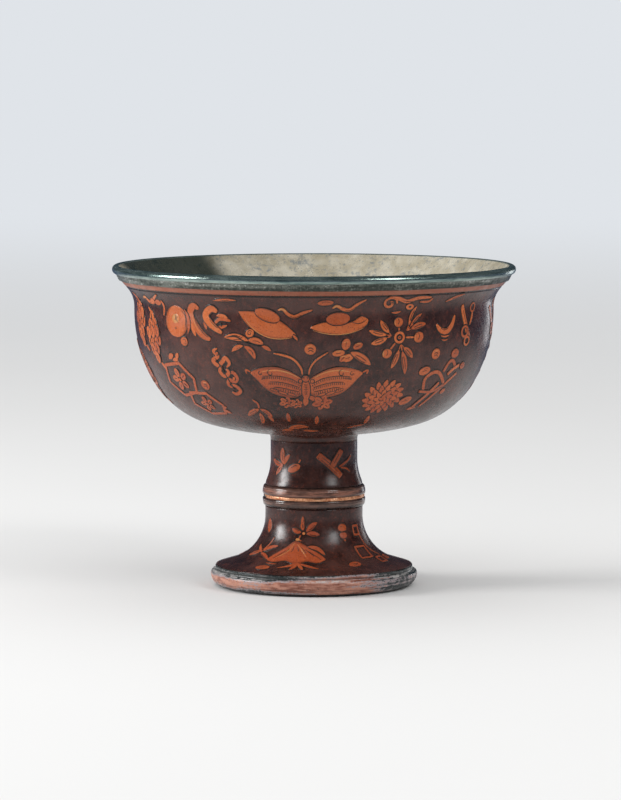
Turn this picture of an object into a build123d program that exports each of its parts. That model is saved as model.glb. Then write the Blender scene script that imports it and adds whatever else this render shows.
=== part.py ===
from build123d import *
from math import asin, cos, degrees, pi, radians, sin
import os

# A lacquered stem cup: a turned wooden bowl and foot under ground and lacquer,
# inlaid with coloured lacquer and lined with sheet metal rolled over the rim.
# Millimetres, +Z up, origin at the centre of the face it rests on, front at -Y.
# Outlines are followed upwards from the foot, so inwards is always to the left.
# A chain is a list of moves: (length, 0) is a straight run, (radius, turn) an arc.

# Layers over the wood, from the outside in
lacquer_thickness = 0.6
ground_thickness = 0.5
inlay_relief = 0.12
border_depth = 0.35

# Foot, with the width of the flat ring between its hollow and the roll round it
foot_hollow_radius = 32.4
foot_rest_width = 1.55
foot_roll_radius = 4.65
foot_top_round = 1.5
foot_ring_height = 1.0
shoulder_height = 1.25
shoulder_chamfer = 0.5
foot_wood_thickness = 4.4
foot_lining_thickness = 0.5

# Lower stem, from the shoulder of the foot to the beads
plate_slope = 17.0
plate_run = 6.3
stem_sweep_radius = 17.5
stem_run = 3.5

# Beads around the stem, with a gilt band between them
bead_overhang = 0.4
bead_swell = 0.95
lower_bead_height = 3.5
gilt_band_height = 0.7
upper_bead_height = 3.9
bead_shoulder = 0.1

# Column above the beads
shoulder_lean = 5.0
shoulder_round = 6.0
shoulder_turn = 17.0
cove_sweep_radius = 20.3
column_run = 7.3

# Joint of stem and bowl
tenon_radius = 9.0
tenon_height = 4.5
glue_thickness = 0.15
hollow_cap = 8.0

# Bowl wall, from the neck to the lip
neck_run = 0.5
neck_cove_radius = 2.5
floor_slope = 3.0
floor_arc_radius = 96.0
floor_arc_turn = 13.0
belly_arc_radius = 33.0
belly_arc_turn = 41.0
side_arc_radius = 51.5
side_run = 1.6
lip_arc_radius = 10.5
lip_turn = 40.0
lip_run = 4.8
floor_wood_thickness = 3.6

# Metal lining and its bedding
bedding_thickness = 0.3
liner_thickness = 0.8
liner_side_radius = 48.0
liner_side_lean = 6.0
liner_lip_radius = 12.0

# Rolled rim
wire_radius = 0.8
rim_reach = 1.1
rim_rise = 3.3
collar_thickness = 0.45
collar_lap = 0.35
putty_clearance = 0.02

# Red line under the rim, and the groove that sets it off
border_width = 2.8
border_gap = 0.35
groove_width = 0.5
groove_depth = 0.2

# How far a motif's outline is carried through the curved wall
motif_reach = 7.0

skin_thickness = lacquer_thickness + ground_thickness


# Chains of moves, each carrying on from the one before

lower_stem_moves = [
    (plate_run, 0),
    (stem_sweep_radius, plate_slope - 90),
    (stem_run, 0),
]
column_moves = [
    (shoulder_round, shoulder_turn),
    (cove_sweep_radius, -shoulder_turn - shoulder_lean),
    (column_run, 0),
]
bowl_moves = [
    (neck_run, 0),
    (neck_cove_radius, floor_slope - 90),
    (floor_arc_radius, floor_arc_turn),
    (belly_arc_radius, belly_arc_turn),
    (side_arc_radius, 90 - floor_slope - floor_arc_turn - belly_arc_turn),
    (side_run, 0),
    (lip_arc_radius, -lip_turn),
    (lip_run, 0),
]


def step_aside(point, heading, inset):
    """The point moved to the left of the heading by the inset."""
    return (point[0] - inset * sin(radians(heading)), point[1] + inset * cos(radians(heading)))


def move_length(move):
    size, turn = move
    return size if turn == 0 else size * radians(abs(turn))


def take_move(point, heading, move, share=1.0):
    """Where a share of one move ends, and the heading there."""
    size, turn = move
    if turn == 0:
        reach = size * share
        return (point[0] + reach * cos(radians(heading)), point[1] + reach * sin(radians(heading))), heading
    after = heading + turn * share
    radius = size if turn > 0 else -size
    x = point[0] + radius * (sin(radians(after)) - sin(radians(heading)))
    z = point[1] - radius * (cos(radians(after)) - cos(radians(heading)))
    return (x, z), after


def walk(start, heading, moves, distance=None):
    """The point and heading after a distance along a chain, or at its end."""
    point = start
    for move in moves:
        length = move_length(move)
        if distance is not None and distance < length:
            return take_move(point, heading, move, distance / length)
        if distance is not None:
            distance -= length
        point, heading = take_move(point, heading, move)
    return point, heading


def draw_chain(start, heading, moves, inset=0.0):
    """Draw a chain, set in by the inset, into the open BuildLine, and give its ends."""
    point = first = step_aside(start, heading, inset)
    for size, turn in moves:
        if turn == 0:
            move = Line(point, take_move(point, heading, (size, 0))[0])
        else:
            radius = size - inset if turn > 0 else size + inset
            tangent = (cos(radians(heading)), sin(radians(heading)))
            move = JernArc(start=point, tangent=tangent, radius=radius, arc_size=turn)
            heading += turn
        point = tuple(move @ 1)[:2]
    return first, point


# Levels up the cup

rest_radius = foot_hollow_radius + foot_rest_width
foot_radius = rest_radius + foot_roll_radius
foot_neck_radius = foot_radius - foot_top_round
shoulder_base = foot_roll_radius + foot_top_round
plate_start = (foot_neck_radius - shoulder_chamfer, shoulder_base + shoulder_height + shoulder_chamfer)
plate_heading = 180 - plate_slope
stem_top, _ = walk(plate_start, plate_heading, lower_stem_moves)
band_radius = stem_top[0] + bead_overhang
band_base = stem_top[1] + lower_bead_height
band_top = band_base + gilt_band_height
bead_top = band_top + upper_bead_height
column_start = (band_radius - bead_overhang - bead_shoulder, bead_top)
column_heading = 90 + shoulder_lean
neck, _ = walk(column_start, column_heading, column_moves)
lip, lip_heading = walk(neck, 90, bowl_moves)
stem_core_radius = stem_top[0] - skin_thickness

# Centre of the rolled rim, and where the lining runs into it
rim_centre = (lip[0] + rim_reach, lip[1] + rim_rise)
rim_radius = wire_radius + liner_thickness
liner_end = step_aside(rim_centre, lip_heading, wire_radius)

# The lining starts flat over the floor of the bowl
floor_point, _ = walk(neck, 90, bowl_moves[:2])
liner_depth = skin_thickness + floor_wood_thickness + bedding_thickness
liner_floor = step_aside(floor_point, floor_slope, liner_depth)
liner_first_moves = [
    (floor_arc_radius - liner_depth, floor_arc_turn),
    (belly_arc_radius - liner_depth, belly_arc_turn),
    (liner_side_radius, 90 - liner_side_lean - floor_slope - floor_arc_turn - belly_arc_turn),
]
liner_side, liner_side_heading = walk(liner_floor, floor_slope, liner_first_moves)
liner_lip_move = (liner_lip_radius, lip_heading - liner_side_heading)


def liner_runs():
    """Lengths of the two straight runs that bring the lining to the rim."""
    bend, _ = take_move((0, 0), liner_side_heading, liner_lip_move)
    across = liner_end[0] - liner_side[0] - bend[0]
    up = liner_end[1] - liner_side[1] - bend[1]
    side = (cos(radians(liner_side_heading)), sin(radians(liner_side_heading)))
    flare = (cos(radians(lip_heading)), sin(radians(lip_heading)))
    span = side[0] * flare[1] - side[1] * flare[0]
    return (across * flare[1] - up * flare[0]) / span, (side[0] * up - side[1] * across) / span


liner_side_run, liner_flare_run = liner_runs()

# The layers of the wall stop at the lip, short of the rolled rim
lip_direction = (cos(radians(lip_heading)), sin(radians(lip_heading)))
rim_overrun = (liner_end[0] - lip[0]) * lip_direction[0] + (liner_end[1] - lip[1]) * lip_direction[1]


def liner_moves(short=0.0):
    return liner_first_moves + [(liner_side_run, 0), liner_lip_move, (liner_flare_run - short, 0)]


def draw_liner(inset=0.0, short=0.0):
    """Draw the lining's outer face, set in by the inset, from the axis to the rim."""
    floor = step_aside(liner_floor, floor_slope, inset)
    Line((0, floor[1]), floor)
    return draw_chain(liner_floor, floor_slope, liner_moves(short), inset)


# Solids of revolution

def wall_band(start, heading, moves, outer, inner):
    """A layer between two insets of one chain, closed square at both ends."""
    with BuildPart() as band:
        with BuildSketch(Plane.XZ):
            with BuildLine():
                outer_first, outer_last = draw_chain(start, heading, moves, outer)
                inner_first, inner_last = draw_chain(start, heading, moves, inner)
                Line(outer_first, inner_first)
                Line(outer_last, inner_last)
            make_face()
        revolve(axis=Axis.Z)
    return band.part


def bowl_band(outer, inner):
    return wall_band(neck, 90, bowl_moves, outer, inner)


def bowl_place(side, climb, lean=0.0):
    """Plane on the bowl, side degrees round from the front and climb up from the neck cove."""
    base = move_length(bowl_moves[0]) + move_length(bowl_moves[1])
    point, heading = walk(neck, 90, bowl_moves, base + climb)
    return wall_place(point, heading, side, lean)


def column_place(side, climb, lean=0.0):
    point, heading = walk(column_start, column_heading, column_moves, climb)
    return wall_place(point, heading, side, lean)


def plate_place(side, climb, lean=0.0):
    point, heading = walk(plate_start, plate_heading, lower_stem_moves, climb)
    return wall_place(point, heading, side, lean)


def wall_place(point, heading, side, lean):
    """Plane touching the wall, its x to the right and its y up the wall, turned by the lean."""
    across, down = sin(radians(heading)), -cos(radians(heading))
    right, back = cos(radians(side)), sin(radians(side))
    return Plane(
        origin=(point[0] * back, -point[0] * right, point[1]),
        x_dir=(right, back, 0),
        z_dir=(across * back, -across * right, down),
    ).rotated((0, 0, lean))


# Motifs, drawn flat in the sketch that is open

def blade(start, end, left, right, mode=Mode.ADD):
    """A blade from start to end, bowed out by left and right, as a leaf or a crescent."""
    with BuildLine(Plane.XY) as sides:
        SagittaArc(start, end, left)
        SagittaArc(start, end, -right)
    make_face(sides.edges(), mode=mode)


def spot(x, y, radius):
    with Locations((x, y)):
        Circle(radius)


def oval(x, y, length, width, turn=0.0, mode=Mode.ADD):
    """A pointed oval of two arcs about its middle."""
    across, up = length / 2 * cos(radians(turn)), length / 2 * sin(radians(turn))
    blade((x - across, y - up), (x + across, y + up), width / 2, width / 2, mode)


def spray(x, y, reach, width, turns):
    """Leaves from one root, each at its own turn."""
    for turn in turns:
        tip = (x + reach * cos(radians(turn)), y + reach * sin(radians(turn)))
        blade((x, y), tip, width / 2, width / 2)


def draw_ingot():
    blade((-10.9, 0.9), (10.9, 0.9), 2.6, 4.6)
    oval(0.1, 3.1, 10.6, 4.7, -12, Mode.SUBTRACT)
    oval(0.1, 3.1, 9.6, 3.9, -12)


def draw_coin():
    Circle(6.0)
    oval(4.4, -7.2, 4.4, 2.4, -35)


def draw_horns():
    for x in (-3.9, 3.4):
        blade((x - 2.6, 4.6), (x + 4.4, -5.6), -0.6, 2.6)
        blade((x - 2.6, 3.6), (x + 2.2, 5.4), 1.6, -0.7)


def draw_branch():
    blade((-7.6, 0.6), (-3.4, 0.8), 0.9, 0.9)
    blade((-5.6, 1.9), (5.6, -0.2), 1.1, 1.1)
    blade((4.2, 0), (10.2, -3.6), 1.4, 0.6)
    blade((-5.2, -4.2), (0.2, -0.8), 0.8, 1.0)
    blade((-0.4, -0.8), (3.2, -6), 1.4, 0.7)
    blade((1.2, 0.6), (3.8, 4.2), 0.9, 0.9)


def draw_ribbon():
    blade((-6.4, 0.3), (-2.8, 0.6), 1.1, -0.3)
    blade((-3.2, 0.9), (1.0, -1.2), 0.6, 0.4)
    blade((0.2, -1.2), (6.4, 1.0), -0.1, 1.1)


def draw_cloud():
    oval(-7.2, 0.2, 6.4, 4.2)
    oval(-1.0, 0.6, 10.4, 2.4)
    oval(5.6, 0.3, 9.4, 2.8)


def draw_pearl():
    Circle(2.1)


def draw_bud_wheel():
    Circle(2.1)
    for x, y in ((-0.7, 5.5), (8.5, -0.5), (-4.7, -5.8)):
        spot(x, y, 1.9)
        blade((0, 0), (x, y), 0.4, 0.4)
    spray(0, 0, 12.4, 2.2, (150, 167, 188))
    spray(0, 0, 12.6, 2.2, (21, 36, 56))
    spray(0, 0, 12.6, 2.4, (265, 290, 316))


def draw_crescent():
    blade((-4.3, 0.6), (4.4, 3.0), -1.5, 3.8)


def draw_tassel():
    blade((-2.2, 9.0), (4.4, -3.6), -0.4, 1.7)
    spot(2.2, -6.4, 1.7)


def draw_blossom():
    Circle(1.2)
    spray(0, 0, 5.0, 3.4, (20, 96, 188, 264))
    spray(0, 0, 10.2, 2.4, (-28,))


def draw_butterfly():
    for hand in (-1, 1):
        with BuildLine(Plane.XY) as wing:
            Spline((0, 3.4), (hand * 10.6, 7.5), (hand * 20.0, 4.9))
            Spline((hand * 20.0, 4.9), (hand * 15.6, -0.8), (hand * 7.4, -5.0), (0, -4.4))
            Line((0, -4.4), (0, 3.4))
        make_face(wing.edges())
        blade((0, 3.0), (hand * 10.8, 13.2), hand * 3.6, hand * -3.0)
        spray(0, -3.6, 8.6, 3.6, (270 + hand * 46,))
    oval(0, -3.4, 12.0, 3.0, 90)


def draw_chrysanthemum():
    Circle(5.0)
    for step in range(12):
        turn = 360 * step / 12
        oval(5.4 * cos(radians(turn)), 4.4 * sin(radians(turn)), 6.8, 3.0, turn)


def draw_knot():
    for step in range(3):
        turn = radians(90 + 120 * step)
        left = (7.4 * cos(turn), 7.4 * sin(turn))
        right = (7.4 * cos(turn + 2 * pi / 3), 7.4 * sin(turn + 2 * pi / 3))
        blade(left, right, 3.0, -1.7)
        blade(left, right, -3.4, 4.7)
        spot(8.6 * cos(turn), 8.6 * sin(turn), 2.2)


def draw_lozenges():
    for x, y, wide, tall in ((-4.2, 4.8, 8.4, 6.4), (4.6, -4.8, 8.0, 5.6)):
        for grow, mode in ((0, Mode.ADD), (-1.3, Mode.SUBTRACT)):
            w, t = wide + grow, tall + grow
            with Locations((x, y)):
                Polygon((w, t / 2), (0, t), (-w, t / 2), (-w, -t / 2), (0, -t), (w, -t / 2), mode=mode)
        oval(x, y, wide, 3.2, 30)


def draw_coral():
    for step in range(6):
        side = 1 if step % 2 else -1
        blade((-2.6 * side, 7.2 - 3.0 * step), (2.6 * side, 9.0 - 3.0 * step - 3.6), 1.3, 1.3)


def draw_sprig():
    blade((0.6, 1.6), (-6.2, -2.2), 1.1, 1.1)
    blade((0.4, 1.6), (5.2, -2.0), 1.2, 1.4)
    blade((0.5, 1.6), (-3.8, -8.0), 1.0, 1.0)
    blade((-0.4, 6.2), (0.7, 0.8), -0.3, 1.2)


def draw_drop():
    oval(0, 0, 5.6, 2.2, 82)


def draw_cone():
    spray(0, -6.0, 13.0, 5.2, (62, 90, 118))
    spray(0, -5.0, 9.0, 3.6, (20, 160))


def draw_stem_sprig():
    spray(0, -1.0, 6.4, 2.8, (30, 92, 166, 228))


def draw_tablets():
    blade((-5.0, 3.6), (4.2, -5.0), 1.3, 1.3)
    blade((5.0, 5.0), (-0.6, -2.2), 1.2, 1.2)


def draw_floret():
    spray(0, -0.6, 6.2, 2.4, (2, 34, 94, 160))


def draw_lotus():
    spray(0, -4.4, 12.0, 5.4, (22, 56, 90, 124, 158))
    spray(0, -4.0, 7.4, 1.6, (240, 270, 300))


def draw_foot_sprig():
    spray(0, 0, 7.6, 2.2, (-34, 36, 176, 258))


def draw_fret():
    for size in (9.4, 5.2):
        Rectangle(size, size)
        Rectangle(size - 1.9, size - 1.9, mode=Mode.SUBTRACT)


def both_faces(places):
    """The places round the front, and the same again round the back."""
    return [(side + turn, climb, lean) for turn in (0, 180) for side, climb, lean in places]


# Where the walls' arcs end, from which the places of the motifs are measured
belly_end = move_length(bowl_moves[2]) + move_length(bowl_moves[3])
lip_end = sum(move_length(move) for move in bowl_moves[2:])
cove_end = move_length(column_moves[0]) + move_length(column_moves[1])

# Name, drawing, and places round the front as (degrees to the right, climb, lean)
bowl_motifs = {
    "inlay_ingots": (draw_ingot, [(-14.5, lip_end - 15.6, -20.5), (7.4, lip_end - 15.4, 6)]),
    "inlay_coins": (draw_coin, [(-48.1, lip_end - 14.8, 0)]),
    "inlay_horns": (draw_horns, [(-36.2, lip_end - 15.4, 0)]),
    "inlay_branches": (draw_branch, [(-23.1, lip_end - 20.8, 0)]),
    "inlay_ribbons": (
        draw_ribbon,
        [(-6.0, lip_end - 10.2, 0), (10.6, lip_end - 7.9, 14), (-60.5, lip_end - 8.0, 12)],
    ),
    "inlay_clouds": (draw_cloud, [(30.2, lip_end - 6.8, 0)]),
    "inlay_pearls": (
        draw_pearl,
        [(-1.2, lip_end - 23.4, 0), (-40.2, belly_end + 4.6, 0), (43.0, lip_end - 26.6, 0)],
    ),
    "inlay_bud_wheels": (draw_bud_wheel, [(27.3, lip_end - 19.6, 0)]),
    "inlay_crescents": (draw_crescent, [(45.3, lip_end - 17.8, 0)]),
    "inlay_tassels": (draw_tassel, [(54.5, lip_end - 17.2, 0), (80.0, lip_end - 16.2, 0)]),
    "inlay_blossoms": (draw_blossom, [(10.4, lip_end - 24.2, 0)]),
    "inlay_butterflies": (draw_butterfly, [(-2.6, belly_end + 5.6, 0)]),
    "inlay_chrysanthemums": (draw_chrysanthemum, [(24.8, belly_end - 0.2, 0)]),
    "inlay_knots": (draw_knot, [(48.5, belly_end + 3.2, 0)]),
    "inlay_lozenges": (draw_lozenges, [(-48.5, belly_end + 1.0, 0)]),
    "inlay_corals": (draw_coral, [(-30.2, belly_end + 10.6, 0)]),
    "inlay_sprigs": (draw_sprig, [(-21.4, belly_end - 6.8, 0)]),
    "inlay_drops": (draw_drop, [(-10.2, belly_end - 9.8, 0), (1.2, belly_end - 11.6, 0)]),
    "inlay_cones": (draw_cone, [(-63.0, lip_end - 19.4, 0), (-78.0, belly_end + 6.6, 0)]),
}
column_motifs = {
    "inlay_column_sprigs": (draw_stem_sprig, [(-43.7, cove_end - 0.4, 0)]),
    "inlay_tablets": (draw_tablets, [(21.7, cove_end - 0.4, 0)]),
}
plate_motifs = {
    "inlay_florets": (draw_floret, [(-11.5, plate_run + 17.5, 0)]),
    "inlay_lotuses": (draw_lotus, [(-15.6, plate_run + 8.7, 0)]),
    "inlay_foot_sprigs": (draw_foot_sprig, [(-58.0, plate_run + 8.3, 0)]),
    "inlay_foot_pearls": (draw_pearl, [(34.2, plate_run + 17.3, 0), (-37.4, plate_run - 1.1, 0)]),
    "inlay_frets": (draw_fret, [(52.0, plate_run + 8.1, 0)]),
}


def make_inlay(draw, places, place_on, layer):
    """One solid for each separate shape of a motif, in low relief on the wall."""
    with BuildPart() as inlay:
        for place in places:
            with BuildSketch(place_on(*place)):
                draw()
            extrude(amount=motif_reach, both=True)
        add(layer, mode=Mode.INTERSECT)
    return inlay.part


def write(part, name):
    part.label = name
    export_step(part, "parts/" + name + ".step")


def write_inlays(motifs, place_on, layer):
    """Write each motif's node."""
    for name, (draw, places) in motifs.items():
        write(make_inlay(draw, both_faces(places), place_on, layer), name)


os.makedirs("parts", exist_ok=True)


# Foot: the ring it rests on, the red band above it, and the worn shoulder

core_edge = step_aside(plate_start, plate_heading, skin_thickness)
roll_half_width = (foot_roll_radius**2 - (foot_roll_radius - foot_ring_height) ** 2) ** 0.5
roll_split = (rest_radius + roll_half_width, foot_ring_height)
roll_split_turn = 90 - degrees(asin((foot_roll_radius - foot_ring_height) / foot_roll_radius))
ring_bore_radius = foot_hollow_radius - foot_lining_thickness

with BuildPart() as foot_ring:
    with BuildSketch(Plane.XZ):
        with BuildLine():
            base = Line((ring_bore_radius, 0), (rest_radius, 0))
            JernArc(start=base @ 1, tangent=(1, 0), radius=foot_roll_radius, arc_size=roll_split_turn)
            Polyline(roll_split, (ring_bore_radius, foot_ring_height), (ring_bore_radius, 0))
        make_face()
    revolve(axis=Axis.Z)
write(foot_ring.part, "foot_ring")

with BuildPart() as foot_band:
    with BuildSketch(Plane.XZ):
        with BuildLine():
            roll = JernArc(
                start=roll_split,
                tangent=(cos(radians(roll_split_turn)), sin(radians(roll_split_turn))),
                radius=foot_roll_radius,
                arc_size=90 - roll_split_turn,
            )
            JernArc(start=roll @ 1, tangent=(0, 1), radius=foot_top_round, arc_size=90)
            Polyline(
                (foot_neck_radius, shoulder_base),
                (core_edge[0], shoulder_base),
                (core_edge[0], foot_ring_height),
                roll_split,
            )
        make_face()
    revolve(axis=Axis.Z)
write(foot_band.part, "foot_band")

with BuildPart() as foot_shoulder:
    with BuildSketch(Plane.XZ):
        with BuildLine():
            Polyline(
                (core_edge[0], shoulder_base),
                (foot_neck_radius, shoulder_base),
                (foot_neck_radius, shoulder_base + shoulder_height),
                plate_start,
                core_edge,
                close=True,
            )
        make_face()
    revolve(axis=Axis.Z)
write(foot_shoulder.part, "foot_shoulder")


# Stem: turned wood, hollow under the foot, with a tenon into the bowl

hollow_top = neck[1] - hollow_cap


def draw_hollow(inset, bore):
    """The hollow under the foot, inside the wall by the inset and inside the bore."""
    with BuildLine() as wall:
        first, last = draw_chain(plate_start, plate_heading, lower_stem_moves, inset)
        Polyline(last, (last[0], hollow_top - inset), (0, hollow_top - inset), (0, 0), (first[0], 0), first)
    make_face(wall.edges())
    with Locations((bore / 2, hollow_top / 2)):
        Rectangle(bore, hollow_top, mode=Mode.INTERSECT)


wood_inset = skin_thickness + foot_wood_thickness
hollow_inset = wood_inset + foot_lining_thickness

with BuildPart() as foot_hollow:
    with BuildSketch(Plane.XZ):
        draw_hollow(wood_inset, foot_hollow_radius)
    revolve(axis=Axis.Z)

with BuildPart() as stem_core:
    with BuildSketch(Plane.XZ):
        with BuildLine():
            _, stem_shoulder = draw_chain(plate_start, plate_heading, lower_stem_moves, skin_thickness)
            column_foot, column_head = draw_chain(column_start, column_heading, column_moves, skin_thickness)
            Polyline(stem_shoulder, (stem_core_radius, column_foot[1]), column_foot)
            Polyline(
                column_head,
                (tenon_radius, neck[1]),
                (tenon_radius, neck[1] + tenon_height),
                (0, neck[1] + tenon_height),
                (0, foot_ring_height),
                (core_edge[0], foot_ring_height),
                core_edge,
            )
        make_face()
    revolve(axis=Axis.Z)
    add(foot_hollow.part, mode=Mode.SUBTRACT)
write(stem_core.part, "stem_core")

with BuildPart() as foot_lining:
    with BuildSketch(Plane.XZ) as lining_section:
        draw_hollow(wood_inset, foot_hollow_radius)
        with BuildSketch(Plane.XZ, mode=Mode.PRIVATE) as lining_inside:
            draw_hollow(hollow_inset, ring_bore_radius)
        add(lining_inside.sketch_local, mode=Mode.SUBTRACT)
        with Locations((foot_hollow_radius / 2, foot_ring_height / 2)):
            Rectangle(foot_hollow_radius, foot_ring_height, mode=Mode.SUBTRACT)
    revolve(axis=Axis.Z)
write(foot_lining.part, "foot_lining")

write(
    wall_band(plate_start, plate_heading, lower_stem_moves, lacquer_thickness, skin_thickness),
    "lower_stem_ground",
)
write(
    wall_band(column_start, column_heading, column_moves, lacquer_thickness, skin_thickness),
    "column_ground",
)


# Beads round the stem and the gilt band between them

def make_bead(base, top, base_radius, top_radius):
    """A half-round ring on the wooden core."""
    with BuildPart() as bead:
        with BuildSketch(Plane.XZ):
            with BuildLine():
                ThreePointArc(
                    (base_radius, base),
                    (stem_top[0] + bead_swell, (base + top) / 2),
                    (top_radius, top),
                )
                Polyline(
                    (top_radius, top),
                    (stem_core_radius, top),
                    (stem_core_radius, base),
                    (base_radius, base),
                )
            make_face()
        revolve(axis=Axis.Z)
    return bead.part


write(make_bead(stem_top[1], band_base, stem_top[0], band_radius), "lower_bead")
write(make_bead(band_top, bead_top, band_radius, column_start[0]), "upper_bead")

with BuildPart() as gilt_band:
    with BuildSketch(Plane.XY.offset(band_base)):
        Circle(band_radius)
        Circle(stem_core_radius, mode=Mode.SUBTRACT)
    extrude(amount=gilt_band_height)
write(gilt_band.part, "gilt_band")


# Stem lacquer and its inlays

for coat_name, start, heading, moves, motifs, place_on in (
    ("column_lacquer", column_start, column_heading, column_moves, column_motifs, column_place),
    ("lower_stem_lacquer", plate_start, plate_heading, lower_stem_moves, plate_motifs, plate_place),
):
    write(wall_band(start, heading, moves, 0, lacquer_thickness), coat_name)
    write_inlays(motifs, place_on, wall_band(start, heading, moves, -inlay_relief, 0))


# Bowl: wood, ground and lacquer, with the red line and the groove under the rim

with BuildPart() as bowl_core:
    with BuildSketch(Plane.XZ):
        with BuildLine():
            core_foot, core_lip = draw_chain(neck, 90, bowl_moves, skin_thickness)
            bed_floor, bed_lip = draw_liner(-bedding_thickness, rim_overrun)
            Line(core_lip, bed_lip)
            Polyline(core_foot, (0, neck[1]), (0, bed_floor[1]))
        make_face()
    revolve(axis=Axis.Z)
    with BuildSketch(Plane.XY.offset(neck[1])):
        Circle(tenon_radius + glue_thickness)
    extrude(amount=tenon_height + glue_thickness, mode=Mode.SUBTRACT)
write(bowl_core.part, "bowl_core")

with BuildPart() as tenon_glue:
    with BuildSketch(Plane.XY.offset(neck[1])):
        Circle(tenon_radius + glue_thickness)
    extrude(amount=tenon_height + glue_thickness)
    with BuildSketch(Plane.XY.offset(neck[1])):
        Circle(tenon_radius)
    extrude(amount=tenon_height, mode=Mode.SUBTRACT)
write(tenon_glue.part, "tenon_glue")

write(bowl_band(lacquer_thickness, skin_thickness), "bowl_ground")


def lip_strip(below, width, depth):
    """A ring in the straight lip, from below the lip's end by a distance, in to a depth."""
    top, _ = take_move(lip, lip_heading, (-below, 0))
    return wall_band(take_move(top, lip_heading, (-width, 0))[0], lip_heading, [(width, 0)], 0, depth)


rim_border = lip_strip(border_gap, border_width, border_depth)
write(rim_border, "rim_border")

with BuildPart() as bowl_lacquer:
    add(bowl_band(0, lacquer_thickness))
    add(rim_border, mode=Mode.SUBTRACT)
    add(lip_strip(border_gap + border_width, groove_width, groove_depth), mode=Mode.SUBTRACT)
write(bowl_lacquer.part, "bowl_lacquer")

write_inlays(bowl_motifs, bowl_place, bowl_band(-inlay_relief, 0))


# Metal lining, its bedding, and the rim rolled over a wire

with BuildPart() as liner_bedding:
    with BuildSketch(Plane.XZ):
        with BuildLine():
            under_floor, under_lip = draw_liner(-bedding_thickness, rim_overrun)
            over_floor, over_lip = draw_liner(0, rim_overrun)
            Line((0, under_floor[1]), (0, over_floor[1]))
            Line(under_lip, over_lip)
        make_face()
    revolve(axis=Axis.Z)
write(liner_bedding.part, "liner_bedding")

with BuildPart() as liner:
    with BuildSketch(Plane.XZ):
        with BuildLine():
            outside_floor, outside_lip = draw_liner(0)
            inside_floor, inside_lip = draw_liner(liner_thickness)
            Line((0, outside_floor[1]), (0, inside_floor[1]))
            Line(outside_lip, inside_lip)
        make_face()
        with Locations(rim_centre):
            Circle(rim_radius)
            Circle(wire_radius, mode=Mode.SUBTRACT)
    revolve(axis=Axis.Z)
write(liner.part, "liner")

with BuildPart() as rim_wire:
    with BuildSketch(Plane.XZ):
        with Locations(rim_centre):
            Circle(wire_radius)
    revolve(axis=Axis.Z)
write(rim_wire.part, "rim_wire")

# The collar hangs from the rolled rim and laps over the end of the lacquer
collar_foot, _ = take_move(lip, lip_heading, (-collar_lap, 0))
collar_foot_outside = step_aside(collar_foot, lip_heading, -collar_thickness)
collar_head_outside = (rim_centre[0] + collar_thickness, rim_centre[1])
collar_head_inside = (rim_centre[0], rim_centre[1])

with BuildPart() as rim_collar:
    with BuildSketch(Plane.XZ):
        with BuildLine():
            Polyline(
                collar_foot,
                lip,
                collar_head_inside,
                collar_head_outside,
                collar_foot_outside,
                close=True,
            )
        make_face()
        with Locations(rim_centre):
            Circle(rim_radius, mode=Mode.SUBTRACT)
    revolve(axis=Axis.Z)
write(rim_collar.part, "rim_collar")

# Putty fills the corner between the wall's end, the lining, the roll and the collar
putty_end = step_aside(liner_end, lip_heading, -putty_clearance)
putty_foot, _ = take_move(putty_end, lip_heading, (-rim_overrun, 0))

with BuildPart() as rim_putty:
    with BuildSketch(Plane.XZ):
        with BuildLine():
            Polyline(lip, putty_foot, putty_end, rim_centre, close=True)
        make_face()
        with Locations(rim_centre):
            Circle(rim_radius + putty_clearance, mode=Mode.SUBTRACT)
    revolve(axis=Axis.Z)
write(rim_putty.part, "rim_putty")
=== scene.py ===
import math

import bpy
import numpy as np
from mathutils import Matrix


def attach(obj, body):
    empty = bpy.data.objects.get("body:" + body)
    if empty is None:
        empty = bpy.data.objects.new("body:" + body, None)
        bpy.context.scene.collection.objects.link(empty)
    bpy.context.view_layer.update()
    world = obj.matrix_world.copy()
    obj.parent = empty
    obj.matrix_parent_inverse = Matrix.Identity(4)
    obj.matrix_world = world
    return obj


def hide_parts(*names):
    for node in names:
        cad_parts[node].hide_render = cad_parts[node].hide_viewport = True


bl_info = {
    "name": "Lacquered Stem Cup",
    "version": (1, 0, 0),
    "blender": (4, 5, 0),
    "location": "View3D > Sidebar > Stem Cup",
    "description": "Dresses the packed stem cup with its lacquer, inlays and metal lining in a soft studio",
    "category": "Object",
}

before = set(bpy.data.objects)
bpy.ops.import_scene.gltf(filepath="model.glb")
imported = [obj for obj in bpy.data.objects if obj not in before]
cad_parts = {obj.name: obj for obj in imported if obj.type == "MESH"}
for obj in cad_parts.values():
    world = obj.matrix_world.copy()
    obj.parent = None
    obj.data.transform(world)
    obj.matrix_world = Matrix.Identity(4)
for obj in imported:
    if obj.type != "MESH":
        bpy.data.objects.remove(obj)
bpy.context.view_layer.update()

# Shapes are worked out in millimetres and written to the meshes in metres.
# Outlines are followed upwards from the foot, as in the part: a start of (radius, height),
# a heading in degrees, and moves of (length, 0) for a straight run or (radius, turn) for an arc.
MM = 0.001
FULL_TURN = 2 * math.pi
HALF_TURN = math.pi

LACQUER_THICKNESS = 0.6
FOOT_OUTLINE = ((36.6, 7.9), 163.0, ((6.3, 0), (17.5, -73), (3.5, 0)))
COLUMN_OUTLINE = ((18.09, 38.08), 95.0, ((6.0, 17), (20.3, -22), (7.3, 0)))
BOWL_OUTLINE = (
    (16.2, 54.71),
    90.0,
    ((0.5, 0), (2.5, -87), (96.0, 13), (33.0, 41), (51.5, 33), (1.6, 0), (10.5, -40), (4.8, 0)),
)
NECK_COVE = 0.5 + 2.5 * math.radians(87)
LIP_HEADING = 50.0

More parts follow.
